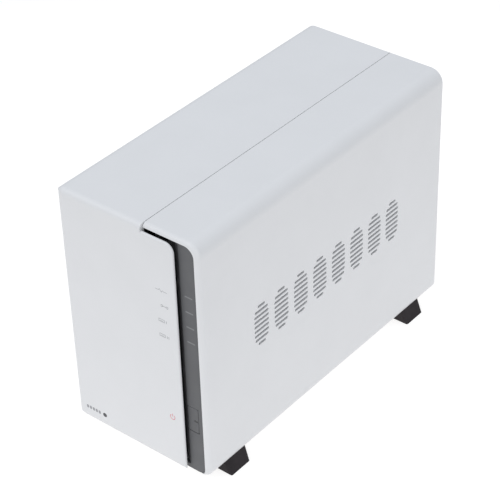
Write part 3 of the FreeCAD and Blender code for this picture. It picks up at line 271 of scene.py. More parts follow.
def screw_steel():
    return sheet_metal("screw_steel", (0.60, 0.60, 0.61), 0.3, depth=0.002)


def fan_black():
    return moulded("fan_black", (0.028, 0.028, 0.03), 0.5, grain=0.6, depth=0.01, mottle=0.1)


def winding_copper():
    """Enamelled wire: fine turns across each pole. Across each turn the colour goes from dark to bright
    copper: painted shade between the turns and a painted highlight along them.
    """
    surface = Surface("winding_copper")
    turns = surface.pattern("ShaderNodeTexWave", 2.2 * MM, bands_direction="Y").outputs["Fac"]
    turn_shade_and_highlight = ((0.2, (0.22, 0.07, 0.03)), (0.8, (0.62, 0.26, 0.11)))
    # Dark copper between the turns is painted shade and bright copper on them is a painted highlight; the
    # same turns also drive the bump.
    surface.feed("Base Color", surface.ramp(turns, turn_shade_and_highlight))
    surface.feed("Normal", surface.bump(turns, 0.1 * MM))
    surface.set(metallic=0.8, roughness=0.35)
    return surface.material


def circuit_board():
    """Green solder mask over copper: wide square tracks and a net of fine ones show through it."""
    surface = Surface("circuit_board")
    net = surface.pattern("ShaderNodeTexVoronoi", 3.4 * MM, feature="DISTANCE_TO_EDGE")
    fine_tracks = surface.ramp(net.outputs["Distance"], ((0.02, 1.0), (0.05, 0.0)))
    squares = surface.pattern("ShaderNodeTexBrick", 6.0 * MM)
    squares.inputs["Mortar Size"].default_value = 0.04
    squares.inputs["Color1"].default_value = rgba((0.012, 0.085, 0.045))
    squares.inputs["Color2"].default_value = rgba((0.016, 0.105, 0.055))
    squares.inputs["Mortar"].default_value = rgba((0.035, 0.20, 0.10))
    mask = surface.mix(fine_tracks, squares.outputs["Color"], (0.03, 0.18, 0.09))
    surface.feed("Base Color", mask)
    surface.feed("Normal", surface.bump(squares.outputs["Fac"], 0.02 * MM))
    surface.feed("Roughness", surface.spread(surface.noise(6 * MM), 0.25, 0.36))
    return surface.material


def chip_black():
    return moulded("chip_black", (0.022, 0.022, 0.024), 0.55, grain=0.25, depth=0.012, mottle=0.12)


def socket_white():
    return moulded("socket_white", (0.72, 0.69, 0.61), 0.42, grain=0.4, depth=0.01, mottle=0.03)


def capacitor_can():
    return sheet_metal("capacitor_can", (0.66, 0.67, 0.69), 0.3, along=(1, 1, 0.2), depth=0.003)


def heatsink_aluminium():
    return sheet_metal("heatsink_aluminium", (0.62, 0.63, 0.645), 0.36, along=(1, 0.05, 1), depth=0.008)


def disk_casting():
    """Die-cast aluminium: coarse bead-blasted skin."""
    surface = Surface("disk_casting")
    skin = surface.noise(0.8 * MM, 4.0, 0.7)
    greys = ((0.3, (0.30, 0.305, 0.315)), (0.7, (0.38, 0.385, 0.395)))
    surface.feed("Base Color", surface.ramp(surface.noise(11 * MM, 4.0), greys))
    surface.feed("Normal", surface.bump(skin, 0.05 * MM))
    surface.feed("Roughness", surface.spread(skin, 0.42, 0.58))
    surface.set(metallic=1.0)
    return surface.material


def disk_lid_steel():
    return sheet_metal("disk_lid_steel", (0.70, 0.71, 0.72), 0.24, along=(1, 0.04, 1), depth=0.003,
                       mottle=0.04)


def socket_shield():
    return sheet_metal("socket_shield", (0.68, 0.68, 0.69), 0.28, along=(1, 0.1, 1), depth=0.004)


def contact_gold():
    return sheet_metal("contact_gold", (0.86, 0.60, 0.22), 0.25, along=(1, 0.1, 1), depth=0.002)


def lead_black():
    return moulded("lead_black", (0.03, 0.03, 0.031), 0.5, grain=0.4, depth=0.01, mottle=0.1)


SLOT_MAKERS = (
    housing_white, bezel_grey, light_guide, rubber_black, galvanised_steel, screw_steel, fan_black,
    winding_copper, circuit_board, chip_black, socket_white, capacitor_can, heatsink_aluminium,
    disk_casting, disk_lid_steel, socket_shield, contact_gold, lead_black,
)
SLOTS = {maker.__name__: maker() for maker in SLOT_MAKERS}


def dress_cad_nodes():
    """Gives every CAD node the material of its slot."""
    for subpart in frame["record"]["subparts"]:
        mesh = NODES[subpart["node"]].data
        mesh.materials.clear()
        mesh.materials.append(SLOTS[subpart["material_slot"]])


# ---- materials of the added pieces ------------------------------------------------------------------
def plain(name, colour, roughness):
    """Ink, paper or moulded trim with a little unevenness."""
    return moulded(name, colour, roughness, grain=0.3, depth=0.002, mottle=0.05)


TRIM = {
    "print_grey": plain("print_grey", (0.31, 0.31, 0.325), 0.5),
    "print_red": plain("print_red", (0.62, 0.16, 0.19), 0.5),
    "label_paper": plain("label_paper", (0.74, 0.74, 0.72), 0.38),
    "label_ink": plain("label_ink", (0.06, 0.06, 0.065), 0.5),
    "smoked_lens": plain("smoked_lens", (0.012, 0.012, 0.014), 0.2),
    "indicator_green": plain("indicator_green", (0.10, 0.42, 0.12), 0.25),
    "indicator_amber": plain("indicator_amber", (0.62, 0.33, 0.05), 0.25),
    "wire_red": plain("wire_red", (0.45, 0.03, 0.025), 0.4),
    "wire_yellow": plain("wire_yellow", (0.62, 0.42, 0.04), 0.4),
    "wire_grey": plain("wire_grey", (0.26, 0.26, 0.27), 0.42),
    "ceramic_brown": plain("ceramic_brown", (0.30, 0.19, 0.10), 0.42),
    "tin": sheet_metal("tin", (0.74, 0.74, 0.73), 0.3, depth=0.002),
}


# ---- mesh building blocks ---------------------------------------------------------------------------
def to_mm(corner):
    """A corner of a box, in millimetres."""
    return [value / MM for value in corner]


SHARP_ANGLE = 35
BEVEL_SEGMENTS = 2


class Solid:
    """Collects closed shapes, given in millimetres, into one mesh."""

    def __init__(self):
        self.mesh = bmesh.new()

    def extrude(self, corners, along):
        """A flat polygon drawn out along a vector."""
        near = [self.mesh.verts.new(Vector(c) * MM) for c in corners]
        far = [self.mesh.verts.new((Vector(c) + Vector(along)) * MM) for c in corners]
        self.mesh.faces.new(near)
        self.mesh.faces.new(reversed(far))
        for i in range(len(near)):
            j = (i + 1) % len(near)
            self.mesh.faces.new((near[j], near[i], far[i], far[j]))

    def block(self, low, high):
        (x0, y0, z0), (x1, y1, z1) = low, high
        self.extrude([(x0, y0, z0), (x1, y0, z0), (x1, y1, z0), (x0, y1, z0)], (0, 0, z1 - z0))

    def turned(self, profile, foot, axis, sides=32):
        """A profile of (radius, height) turned about an axis through foot.

        It starts and ends on the axis, or else closes on itself.
        """
        axis = Vector(axis).normalized()
        side = axis.orthogonal().normalized()
        across = axis.cross(side)
        turns = [2 * math.pi * i / sides for i in range(sides)]
        rings = []
        for radius, height in profile:
            centre = Vector(foot) + axis * height
            if radius == 0:
                rings.append([self.mesh.verts.new(centre * MM)])
                continue
            spokes = [(side * math.cos(a) + across * math.sin(a)) * radius for a in turns]
            rings.append([self.mesh.verts.new((centre + spoke) * MM) for spoke in spokes])
        for lower, upper in zip(rings, rings[1:]):
            for i in range(sides):
                j = (i + 1) % sides
                if len(lower) == 1:
                    self.mesh.faces.new((lower[0], upper[j], upper[i]))
                elif len(upper) == 1:
                    self.mesh.faces.new((lower[i], lower[j], upper[0]))
                else:
                    self.mesh.faces.new((lower[i], lower[j], upper[j], upper[i]))

    def disc(self, foot, axis, radius, height, sides=32):
        self.turned(((0, 0), (radius, 0), (radius, height), (0, height)), foot, axis, sides)

    def piece(self, name, material, slot, body="root", bevel=0.0):
        """Turns the collected shapes into a named piece that rides on a body."""
        bmesh.ops.recalc_face_normals(self.mesh, faces=self.mesh.faces)
        data = bpy.data.meshes.new(name)
        self.mesh.to_mesh(data)
        self.mesh.free()
        data.materials.append(material)
        data.shade_smooth()
        data.set_sharp_from_angle(angle=math.radians(SHARP_ANGLE))
        made = bpy.data.objects.new(name, data)
        bpy.context.scene.collection.objects.link(made)
        if bevel:
            rounding = made.modifiers.new("rounding", "BEVEL")
            rounding.width = bevel * MM
            rounding.segments = BEVEL_SEGMENTS
            rounding.limit_method = "ANGLE"
        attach(made, body)
        return made


INK_THICKNESS = 0.02
PRINT_BED = 0.05
# A pill's shorter side over its radius: a little over 2, so that a short flat stays on each end.
PILL_RATIO = 2.2
PILL_STEPS = 4


class Print:
    """Flat printed shapes on a plane, sunk into it by the print's bed.

    right and up are unit vectors in the plane; out, their cross product, is its outward normal.
    """

    def __init__(self, origin, right, up, thickness=INK_THICKNESS):
        self.solid = Solid()
        self.origin, self.right, self.up = Vector(origin), Vector(right), Vector(up)
        self.out = self.right.cross(self.up)
        self.thickness = thickness

    def shape(self, points):
        """A filled outline of (right, up) points in millimetres."""
        bed = self.origin - self.out * PRINT_BED
        base = [bed + self.right * u + self.up * v for u, v in points]
        self.solid.extrude(base, self.out * (PRINT_BED + self.thickness))

    def bar(self, u0, v0, u1, v1):
        self.shape([(u0, v0), (u1, v0), (u1, v1), (u0, v1)])

    def pill(self, u0, v0, u1, v1):
        """A bar with rounded ends, or with rounded corners where it is nearly square."""
        radius = min(u1 - u0, v1 - v0) / PILL_RATIO
        points = []
        for cu, cv, start in ((u1 - radius, v1 - radius, 0), (u0 + radius, v1 - radius, 90),
                              (u0 + radius, v0 + radius, 180), (u1 - radius, v0 + radius, 270)):
            for step in range(PILL_STEPS + 1):
                a = math.radians(start + 90 * step / PILL_STEPS)
                points.append((cu + radius * math.cos(a), cv + radius * math.sin(a)))
        self.shape(points)

    def arc(self, u, v, radius, width, start, end, steps=24):
        """A stretch of a ring between two angles in degrees."""
        angles = [math.radians(start + (end - start) * i / steps) for i in range(steps + 1)]
        near, far = radius - width / 2, radius + width / 2
        inner = [(u + near * math.cos(a), v + near * math.sin(a)) for a in angles]
        outer = [(u + far * math.cos(a), v + far * math.sin(a)) for a in angles]
        for i in range(steps):
            self.shape([inner[i], outer[i], outer[i + 1], inner[i + 1]])

    def line(self, points, width):
        """A stroke through several points."""
        for (u0, v0), (u1, v1) in zip(points, points[1:]):
            length = math.hypot(u1 - u0, v1 - v0)
            du, dv = (v0 - v1) / length * width / 2, (u1 - u0) / length * width / 2
            near = [(u0 - du, v0 - dv), (u1 - du, v1 - dv)]
            far = [(u1 + du, v1 + dv), (u0 + du, v0 + dv)]
            self.shape(near + far)

    def frame(self, u0, v0, u1, v1, width):
        self.line([(u0, v0), (u1, v0), (u1, v1), (u0, v1), (u0, v0)], width)


# ---- printed marks ----------------------------------------------------------------------------------
FACE_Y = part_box("left_cover")[0][1] / MM
LIGHT_NAMES = ("status", "network", "disk_1", "disk_2")
INK_SLOT = "bezel_grey"
LIGHT_MARK_STROKE = 0.28
REAR_MARK_STROKE = 0.35
POWER_MARK_X = 26.7
POWER_MARK_Z = 42.1
CORNER_MARK_Z = 15.4
CORNER_BARS = 5
CORNER_BAR_LEFT = -41.0
CORNER_BAR_WIDTH = 1.7
CORNER_BAR_PITCH = 2.3


def light_height(name):
    """Height of the middle of a status light, in millimetres."""
    low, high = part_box(f"{name}_light_pipe")
    return (low[2] + high[2]) / 2 / MM


def front_print(z):
    """A print on the front panel whose heights count from z."""
    return Print((0, FACE_Y, z), (1, 0, 0), (0, 0, 1))


def print_light_marks():
    """A pictogram beside each status light: pulse, linked nodes, and a disk with one or two ticks."""
    line = LIGHT_MARK_STROKE
    pulse = front_print(light_height("status") - 0.4)
    beat = [(20.3, 0), (22.6, 0), (23.5, 0.9), (24.6, -0.9), (25.5, 0.5), (26.0, 0), (28.6, 0)]
    pulse.line(beat, line)
    pulse.solid.piece("status_mark", TRIM["print_grey"], INK_SLOT, "cover")
    linked = front_print(light_height("network") - 0.1)
    linked.frame(23.8, -0.7, 25.0, 0.5, line)
    linked.frame(27.4, -0.7, 28.6, 0.5, line)
    linked.line([(25.0, -0.1), (27.4, -0.1)], line)
    linked.solid.piece("network_mark", TRIM["print_grey"], INK_SLOT, "cover")
    for number in (1, 2):
        disk = front_print(light_height(f"disk_{number}") - 0.5)
        disk.frame(21.5, -0.85, 25.4, 0.85, line)
        disk.line([(22.3, -0.25), (24.6, -0.25)], line)
        for tick in range(number):
            disk.bar(26.6 + tick * 1.1, -0.85, 26.95 + tick * 1.1, 0.85)
        disk.solid.piece(f"disk_{number}_mark", TRIM["print_grey"], INK_SLOT, "cover")


def print_power_mark():
    """The usual power sign, an open ring with an upright bar."""
    sign = front_print(POWER_MARK_Z)
    sign.arc(POWER_MARK_X, 0, 1.65, 0.42, 125, 415, 30)
    sign.bar(POWER_MARK_X - 0.21, 0.35, POWER_MARK_X + 0.21, 2.3)
    sign.solid.piece("power_mark", TRIM["print_red"], INK_SLOT, "cover")


def print_corner_mark():
    """A row of plain bars and a dark, well-rounded square low on the front panel."""
    row = front_print(CORNER_MARK_Z)
    for index in range(CORNER_BARS):
        u0 = CORNER_BAR_LEFT + index * CORNER_BAR_PITCH
        row.pill(u0, -1.2, u0 + CORNER_BAR_WIDTH, 1.2)
    row.solid.piece("corner_bars", TRIM["print_grey"], INK_SLOT, "cover")
    block = front_print(CORNER_MARK_Z)
    block.pill(-28.2, -1.4, -25.3, 1.4)
    block.solid.piece("corner_square", TRIM["label_ink"], INK_SLOT, "cover")


def rear_print(x, z):
    """A print on the rear panel: right is as seen from behind."""
    return Print((x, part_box("steel_chassis")[1][1] / MM, z), (-1, 0, 0), (0, 0, 1))


def print_rear_marks():
    """Pictograms by the rear openings: direct current, linked nodes, a plug and a turning arrow."""
    line = REAR_MARK_STROKE
    current = rear_print(-31.0, 31.5)
    current.line([(-2.2, 0.6), (2.2, 0.6)], line)
    for u in (-2.2, -0.7, 0.8):
        current.line([(u, -0.6), (u + 1.4, -0.6)], line)
    current.solid.piece("power_inlet_mark", TRIM["label_ink"], INK_SLOT)
    linked = rear_print(-13.0, 33.6)
    linked.frame(-0.8, 0.5, 0.8, 2.1, line)
    for u in (-2.4, 2.4):
        linked.frame(u - 0.8, -2.1, u + 0.8, -0.5, line)
        linked.line([(u, -0.5), (u, 0)], line)
    linked.line([(-2.4, 0), (2.4, 0)], line)
    linked.line([(0, 0), (0, 0.5)], line)
    linked.solid.piece("network_socket_mark", TRIM["label_ink"], INK_SLOT)
    plug = rear_print(6.5, 36.0)
    plug.frame(-2.6, -1.2, 2.6, 1.2, line)
    plug.bar(-1.9, -0.1, 1.9, 0.6)
    plug.solid.piece("usb_socket_mark", TRIM["label_ink"], INK_SLOT)
    turn = rear_print(19.5, 26.0)
    turn.arc(0, 0, 1.5, line, 60, 360, 20)
    turn.shape([(0.7, 0.0), (2.3, 0.0), (1.5, 1.2)])
    turn.solid.piece("reset_mark", TRIM["label_ink"], INK_SLOT)


LABEL_THICKNESS = 0.08
DOT_GRID = 7


def make_label(name, origin, right, up, width, height, body, rows):
    """A blank sticker with a few bars of ink and a dotted square instead of any text."""
    paper = Print(origin, right, up, LABEL_THICKNESS)
    paper.bar(-width / 2, -height / 2, width / 2, height / 2)
    paper.solid.piece(name, TRIM["label_paper"], "socket_white", body, 0.03)
    ink = Print(Vector(origin) + paper.out * LABEL_THICKNESS, right, up)
    draw = random.Random(len(name) * 17 + rows)
    for row in range(rows):
        v = height / 2 - (row + 1) * height / (rows + 1)
        u = -width / 2 + 0.08 * width
        while u < width * 0.16:
            run = draw.uniform(0.05, 0.16) * width
            ink.bar(u, v - height * 0.018, min(u + run, width * 0.2), v + height * 0.018)
            u += run + 0.02 * width
    cell = height * 0.055
    for row in range(DOT_GRID):
        for column in range(DOT_GRID):
            if draw.random() < 0.5:
                u = width * 0.27 + column * cell
                v = -height * 0.1 + (row - DOT_GRID // 2) * cell
                ink.bar(u, v, u + cell * 0.92, v + cell * 0.92)
    ink.solid.piece(f"{name}_ink", TRIM["label_ink"], "chip_black", body)


def make_labels():
    """Stickers under the box and on each disk's lid."""
    under_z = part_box("base_shell")[0][2] / MM
    place = (29.0, 0, under_z)
    make_label("underside_label", place, (0, 1, 0), (1, 0, 0), 62, 24, "root", 4)
    for number in (1, 2):
        low, high = map(to_mm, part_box(f"disk_{number}_lid"))
        place = (low[0], (low[1] + high[1]) / 2 - 20.5, 96.5)
        make_label(f"disk_{number}_label", place, (0, -1, 0), (0, 0, 1), 66, 50, "root", 6)


# ---- small parts of the boards ------------------------------------------------------------------------
# Free zones of the main board for small parts: x0, x1, y0, y1.
CHIP_ZONES = (
    (3, 22, 22, 35), (-36, -30, 4, 38), (-26, 15, 32, 37.5), (-36, 23, 59.5, 66), (7, 23, 42, 58),
    (-25, 0, 77, 88), (17.2, 23, -8, 19), (-37, -22, -4, -1), (-30, -24, 84, 94),
)
CHIP_PITCH = 2.6
CHIP_SEED = 11
SHARE_OF_PLACES_TAKEN = 0.62
SHARE_OF_RESISTORS = 0.55
SHARE_OF_SMALL_CHIPS = 0.7
# Packages with leads along their two long sides: x0, x1, y0, y1, leads on each side.
PACKAGES = ((6, 15, -9, 4, 13), (6, 15, 6, 19, 13), (-33, -21, -10, 0, 8))
PACKAGE_TOP = 1.09
# A bent lead seen from its side: distance from the package, height above the board.
GULL_WING_PROFILE = (
    (-0.2, 0.67), (0.35, 0.67), (0.5, 0.14), (0.9, 0.12), (0.9, 0.0), (0.38, 0.0), (0.25, 0.53), (-0.2, 0.53),
)
CAPACITOR_PLACES = ((-33, 44), (-33, 53), (-25, 44), (-25, 53), (18, 38))
CAPACITOR_RADIUS = 3.0
CAPACITOR_TOP = 8.42
CAPACITOR_FOOT = 3.1
CAPACITOR_PROFILE = (
    (0, 0.6), (2.9, 0.6), (CAPACITOR_RADIUS, 0.8), (CAPACITOR_RADIUS, 1.5),
    (2.75, 1.75), (2.75, 1.95), (CAPACITOR_RADIUS, 2.2),
    (CAPACITOR_RADIUS, 8.0), (2.85, 8.3), (2.5, CAPACITOR_TOP), (0, CAPACITOR_TOP),
)
INDUCTOR_PLACES = ((-17, 40), (-7, 40), (-17, 50))
INDUCTOR_SIDE = 7.0
CELL_PLACE = (-8.5, -10.0)
CELL_TOP = 4.2
RISER_CONTACTS = 26
RISER_CONTACT_PITCH = 1.08
DISK_CONTACTS = 22
DISK_CONTACT_PITCH = 1.75
HEADER_PINS = 4
HEADER_PIN_PITCH = 2.0


def board_top():
    """Height of the main board's upper face, in millimetres."""
    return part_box("mainboard")[1][2] / MM


def scatter_chips(draw):
    """Places of the small parts on the main board: (x, y, turned) on a loose grid in the free zones."""
    places = []
    for x0, x1, y0, y1 in CHIP_ZONES:
        for column in range(int((x1 - x0) / CHIP_PITCH)):
            for row in range(int((y1 - y0) / CHIP_PITCH)):
                if draw.random() < SHARE_OF_PLACES_TAKEN:
                    x = x0 + (column + 0.5) * CHIP_PITCH
                    y = y0 + (row + 0.5) * CHIP_PITCH
                    places.append((x, y, draw.random() < 0.5))
    return places


def make_chips():
    """Surface-mounted resistors and capacitors: a body between two tinned ends."""
    board_z = board_top()
    draw = random.Random(CHIP_SEED)
    bodies = {"chip_black": Solid(), "ceramic_brown": Solid()}
    ends = Solid()
    for x, y, turned in scatter_chips(draw):
        kind = "chip_black" if draw.random() < SHARE_OF_RESISTORS else "ceramic_brown"
        small = draw.random() < SHARE_OF_SMALL_CHIPS
        half_length, half_width = (0.85, 0.45) if small else (1.1, 0.62)
        height = 0.4 if kind == "chip_black" else 2 * half_width * 0.8
        end = half_length * 0.3
        stretches = (
            (bodies[kind], -half_length + end, half_length - end, 0.0),
            (ends, -half_length, -half_length + end, 0.03),
            (ends, half_length - end, half_length, 0.03),
        )
        for target, a0, a1, grow in stretches:
            wide = half_width + grow
            u0, u1, v0, v1 = (a0, a1, -wide, wide) if turned else (-wide, wide, a0, a1)
            top = board_z + height + grow
            target.block((x + u0, y + v0, board_z - 0.05), (x + u1, y + v1, top))
    bodies["chip_black"].piece("mainboard_resistors", SLOTS["chip_black"], "chip_black", "root", 0.04)
    bodies["ceramic_brown"].piece("mainboard_ceramics", TRIM["ceramic_brown"], "chip_black", "root", 0.05)
    ends.piece("mainboard_solder_ends", TRIM["tin"], "screw_steel", "root", 0.04)


def gull_wing_row(solid, x, y0, y1, z, outwards, count):
    """A row of bent leads along Y on one side of a package."""
    pitch = (y1 - y0) / count
    width = pitch * 0.27
    for index in range(count):
        y = y0 + (index + 0.5) * pitch
        corners = [(x + outwards * u, y - width, z + v) for u, v in GULL_WING_PROFILE]
        solid.extrude(corners, (0, 2 * width, 0))


def make_leads():
    """Leads of the memory and flash chips, and a pin-one dimple on each package."""
    board_z = board_top()
    leads = Solid()
    dots = Solid()
    for x0, x1, y0, y1, count in PACKAGES:
        for x, outwards in ((x0, -1), (x1, 1)):
            gull_wing_row(leads, x, y0 + 0.4, y1 - 0.4, board_z, outwards, count)
        dots.disc((x0 + 1.2, y0 + 1.2, board_z + PACKAGE_TOP), (0, 0, 1), 0.45, 0.04, 20)
    leads.piece("package_leads", TRIM["tin"], "screw_steel")
    dots.piece("package_marks", TRIM["label_paper"], "socket_white")


def make_capacitors():
    """Electrolytic cans: a square foot, a sleeved can with a rolled crimp, and a bare top whose vent scores
    are dark lines of painted shade.
    """
    board_z = board_top()
    far, near = CAPACITOR_FOOT, CAPACITOR_FOOT - 0.9
    outline = ((-far, -far), (near, -far), (far, -near), (far, near), (near, far), (-far, far))
    band = CAPACITOR_RADIUS + 0.03
    cans, feet, bands, painted_vent_shade = Solid(), Solid(), Solid(), Solid()
    for x, y in CAPACITOR_PLACES:
        feet.extrude([(x + u, y + v, board_z) for u, v in outline], (0, 0, 0.9))
        cans.turned(CAPACITOR_PROFILE, (x, y, board_z), (0, 0, 1), 40)
        edge = [math.radians(-50 + 10 * i) for i in range(11)]
        bands.extrude([(x + band * math.cos(a), y + band * math.sin(a), board_z + CAPACITOR_TOP + 0.01)
                       for a in edge], (0, 0, 0.04))
        # Dark ink lines across each top are painted shade where the vent scores are pressed in.
        for turn in (20, 110):
            a = math.radians(turn)
            du, dv = 2.0 * math.cos(a), 2.0 * math.sin(a)
            wu, wv = -0.1 * math.sin(a), 0.1 * math.cos(a)
            vent_shade_strip = ((-du - wu, -dv - wv), (du - wu, dv - wv), (du + wu, dv + wv), (-du + wu, -dv + wv))
            painted_vent_shade.extrude([(x + u, y + v, board_z + CAPACITOR_TOP - 0.02) for u, v in vent_shade_strip], (0, 0, 0.06))
    made = cans.piece("capacitor_cans", SLOTS["capacitor_can"], "capacitor_can")
    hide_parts("capacitors")
    feet.piece("capacitor_feet", SLOTS["chip_black"], "chip_black", "root", 0.12)
    bands.piece("capacitor_polarity", TRIM["label_ink"], "chip_black")
    # The vent scores' painted shade, drawn in ink.
    painted_vent_shade.piece("capacitor_vent_shade", TRIM["label_ink"], "chip_black")


def make_inductors():
    """Moulded inductors: a ferrite block with cut corners on two folded tin terminals."""
    board_z = board_top()
    low, cut = 0.15, 0.9
    high, cut_high = INDUCTOR_SIDE - low, INDUCTOR_SIDE - cut
    outline = ((cut, low), (cut_high, low), (high, cut), (high, cut_high),
               (cut_high, high), (cut, high), (low, cut_high), (low, cut))
    blocks, terminals = Solid(), Solid()
    for x, y in INDUCTOR_PLACES:
        blocks.extrude([(x + u, y + v, board_z + 0.3) for u, v in outline], (0, 0, 3.2))
        for y0 in (y, y + INDUCTOR_SIDE - 0.5):
            terminals.block((x + 2.0, y0, board_z), (x + 5.0, y0 + 0.5, board_z + 2.2))
    made = blocks.piece("inductor_blocks", SLOTS["chip_black"], "chip_black", "root", 0.35)
    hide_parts("inductors")
    terminals.piece("inductor_terminals", TRIM["tin"], "screw_steel", "root", 0.1)


def make_contacts():
    """Gold contacts: the riser's slot, the disks' tongues and receptacles, and the headers' pins."""
    low, high = map(to_mm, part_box("riser_slot"))
    contacts = Solid()
    for index in range(RISER_CONTACTS):
        x = low[0] + 2.2 + index * RISER_CONTACT_PITCH
        for y0 in (low[1] + 2.0, high[1] - 2.45):
            contacts.block((x, y0, high[2] - 1.5), (x + 0.5, y0 + 0.45, high[2] + 0.05))
    for number in (1, 2):
        low, high = map(to_mm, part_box(f"disk_{number}_connector"))
        x = (low[0] + high[0]) / 2
        y0, y1 = high[1] - 5.2, high[1] - 0.5
        for index in range(DISK_CONTACTS):
            z = low[2] + 3.4 + index * DISK_CONTACT_PITCH
            for face in (-0.66, 0.58):
                contacts.block((x + face, y0, z), (x + face + 0.08, y1, z + 0.8))
    board_z = board_top()
    for index in range(HEADER_PINS):
        x = 10.9 + index * HEADER_PIN_PITCH
        contacts.block((x, -12.1, board_z + 5.7), (x + 0.6, -11.5, board_z + 6.6))
    contacts.piece("gold_contacts", SLOTS["contact_gold"], "contact_gold", "root", 0.05)


def spring_tongue(solid, x, face_y, top, rise, half_width):
    """A folded spring that stands a little proud of a shield, behind its front face."""
    arch = ((-1.0, 0.0), (-3.2, rise), (-8.0, 0.0), (-8.0, -0.1))
    corners = [(x - half_width, face_y + dy, top + dz) for dy, dz in arch]
    solid.extrude(corners, (2 * half_width, 0, 0))


def make_socket_trim():
    """Indicator windows and spring tongues of the network socket, and springs on the USB shield."""
    low, high = map(to_mm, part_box("network_jack"))
    x0, x1, face_y, top = low[0], high[0], high[1], high[2]
    windows = (("left", x1 - 3.6, "indicator_green"), ("right", x0 + 0.7, "indicator_amber"))
    for name, x, material in windows:
        window = Solid()
        window.block((x, face_y - 0.6, top - 2.0), (x + 2.9, face_y + 0.05, top - 0.6))
        window.piece(f"network_indicator_{name}", TRIM[material], "light_guide", "root", 0.12)
    springs = Solid()
    for x in (x0 + 4.0, x1 - 4.0):
        spring_tongue(springs, x, face_y, top, 0.3, 1.2)
    low, high = map(to_mm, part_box("usb_jack"))
    for x in (low[0] + 3.2, high[0] - 3.2):
        spring_tongue(springs, x, high[1], high[2], 0.18, 1.1)
    springs.piece("socket_springs", SLOTS["socket_shield"], "socket_shield")


def make_battery_mark():
    """A plus sign on the coin cell."""
    sign = Print((*CELL_PLACE, board_top() + CELL_TOP), (1, 0, 0), (0, 1, 0))
    sign.bar(-2.4, -0.3, 2.4, 0.3)
    sign.bar(-0.3, -2.4, 0.3, -0.3)
    sign.bar(-0.3, 0.3, 0.3, 2.4)
    sign.solid.piece("battery_mark", TRIM["label_ink"], "chip_black")


FRONT_BOARD_HEIGHTS = (80.0, 76.5, 73.0, 58.0, 55.0)


def make_front_board_parts():
    """Resistors above and below each light and beside the switch, and a small driver chip."""
    face_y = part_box("front_board")[0][1] / MM
    parts, ends = Solid(), Solid()
    heights = [light_height(name) for name in LIGHT_NAMES]
    for middle in heights + list(FRONT_BOARD_HEIGHTS):
        for z in (middle - 2.6, middle + 2.6):
            parts.block((44.2, face_y - 0.5, z - 0.4), (45.4, face_y + 0.05, z + 0.4))
            for x in (43.9, 45.2):
                ends.block((x, face_y - 0.52, z - 0.43), (x + 0.4, face_y + 0.05, z + 0.43))
    parts.block((39.6, face_y - 1.0, 58.0), (42.6, face_y + 0.05, 62.5))
    parts.piece("front_board_parts", SLOTS["chip_black"], "chip_black", "root", 0.05)
    ends.piece("front_board_solder_ends", TRIM["tin"], "screw_steel", "root", 0.04)


LID_SCREW_HEAD = ((0, -0.2), (2.3, -0.2), (2.3, 0.35), (1.9, 0.55), (0.9, 0.55), (0.8, 0.25), (0, 0.25))
MOTOR_HUB = ((0, -0.3), (15.0, -0.3), (15.0, 0.1), (14.0, 0.3), (6.0, 0.3), (5.5, 0.1), (0, 0.1))
# Chips on a disk's board, from its middle: y, z, width, height.
DISK_CHIPS = ((-14, 8, 14, 14), (8, 16, 9, 11), (6, -14, 10, 8), (-22, -20, 6, 6), (26, -26, 7, 5))


def make_disk_trim():
    """Star-drive screws round each lid, and chips and a motor hub on each disk's board side."""
    screws, chips, hubs = Solid(), Solid(), Solid()
    for number in (1, 2):
        low, high = map(to_mm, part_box(f"disk_{number}_lid"))
        y0, y1 = low[1] + 5.5, high[1] - 5.5
        for y in (y0, (y0 + y1) / 2 + 14, y1):
            for z in (low[2] + 4.5, high[2] - 4.5):
                screws.turned(LID_SCREW_HEAD, (low[0] + 0.3, y, z), (-1, 0, 0), 24)
        low, high = map(to_mm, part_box(f"disk_{number}_board"))
        face = high[0]
        middle_y, middle_z = (low[1] + high[1]) / 2, (low[2] + high[2]) / 2
        for dy, dz, wide, tall in DISK_CHIPS:
            y, z = middle_y + dy, middle_z + dz
            chips.block((face - 0.1, y - wide / 2, z - tall / 2), (face + 0.4, y + wide / 2, z + tall / 2))
        hubs.turned(MOTOR_HUB, (face + 0.05, low[1] - 20.0, middle_z), (1, 0, 0), 48)
    screws.piece("disk_lid_screws", SLOTS["screw_steel"], "screw_steel")
    chips.piece("disk_board_chips", SLOTS["chip_black"], "chip_black", "root", 0.1)
    hubs.piece("disk_motor_hubs", SLOTS["disk_lid_steel"], "disk_lid_steel")


def make_fan_trim():
    """A round sticker with bars of ink on the fan's turning hub."""
    low, high = map(to_mm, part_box("fan_rotor"))
    face_y, fan_z = low[1], (low[2] + high[2]) / 2
    hub = Solid()
    hub.disc((0, face_y + 0.02, fan_z), (0, -1, 0), 13.0, 0.1, 64)
    hub.piece("fan_hub_sticker", TRIM["label_paper"], "socket_white", "rotor")
    hub_ink = Print((0, face_y - 0.08, fan_z), (1, 0, 0), (0, 0, 1))
    hub_ink.arc(0, 0, 10.0, 0.7, 200, 500, 40)
    for v, half in ((3.2, 6.0), (0.0, 7.4), (-3.2, 5.0)):
        hub_ink.bar(-half, v - 0.5, half, v + 0.5)
    hub_ink.solid.piece("fan_hub_ink", TRIM["label_ink"], "chip_black", "rotor")


# ---- wires ------------------------------------------------------------------------------------------
FRONT_LEAD_ROUTE = ((42.5, -93.1, 33), (42.5, -74, 33), (40, -58, 28), (30, -46, 24), (18, -38, 22),
                    (14, -27, 19.5), (14, -14.5, 19.5))
FAN_LEAD_ROUTE = ((22, 96.5, 63.2), (22, 96.5, 55), (18, 93.5, 44), (11, 87.5, 37), (8, 86.5, 33.5),
                  (8, 86.5, 24.5))


BUNDLE_LEAN = (0.31, 0.2, 0.93)


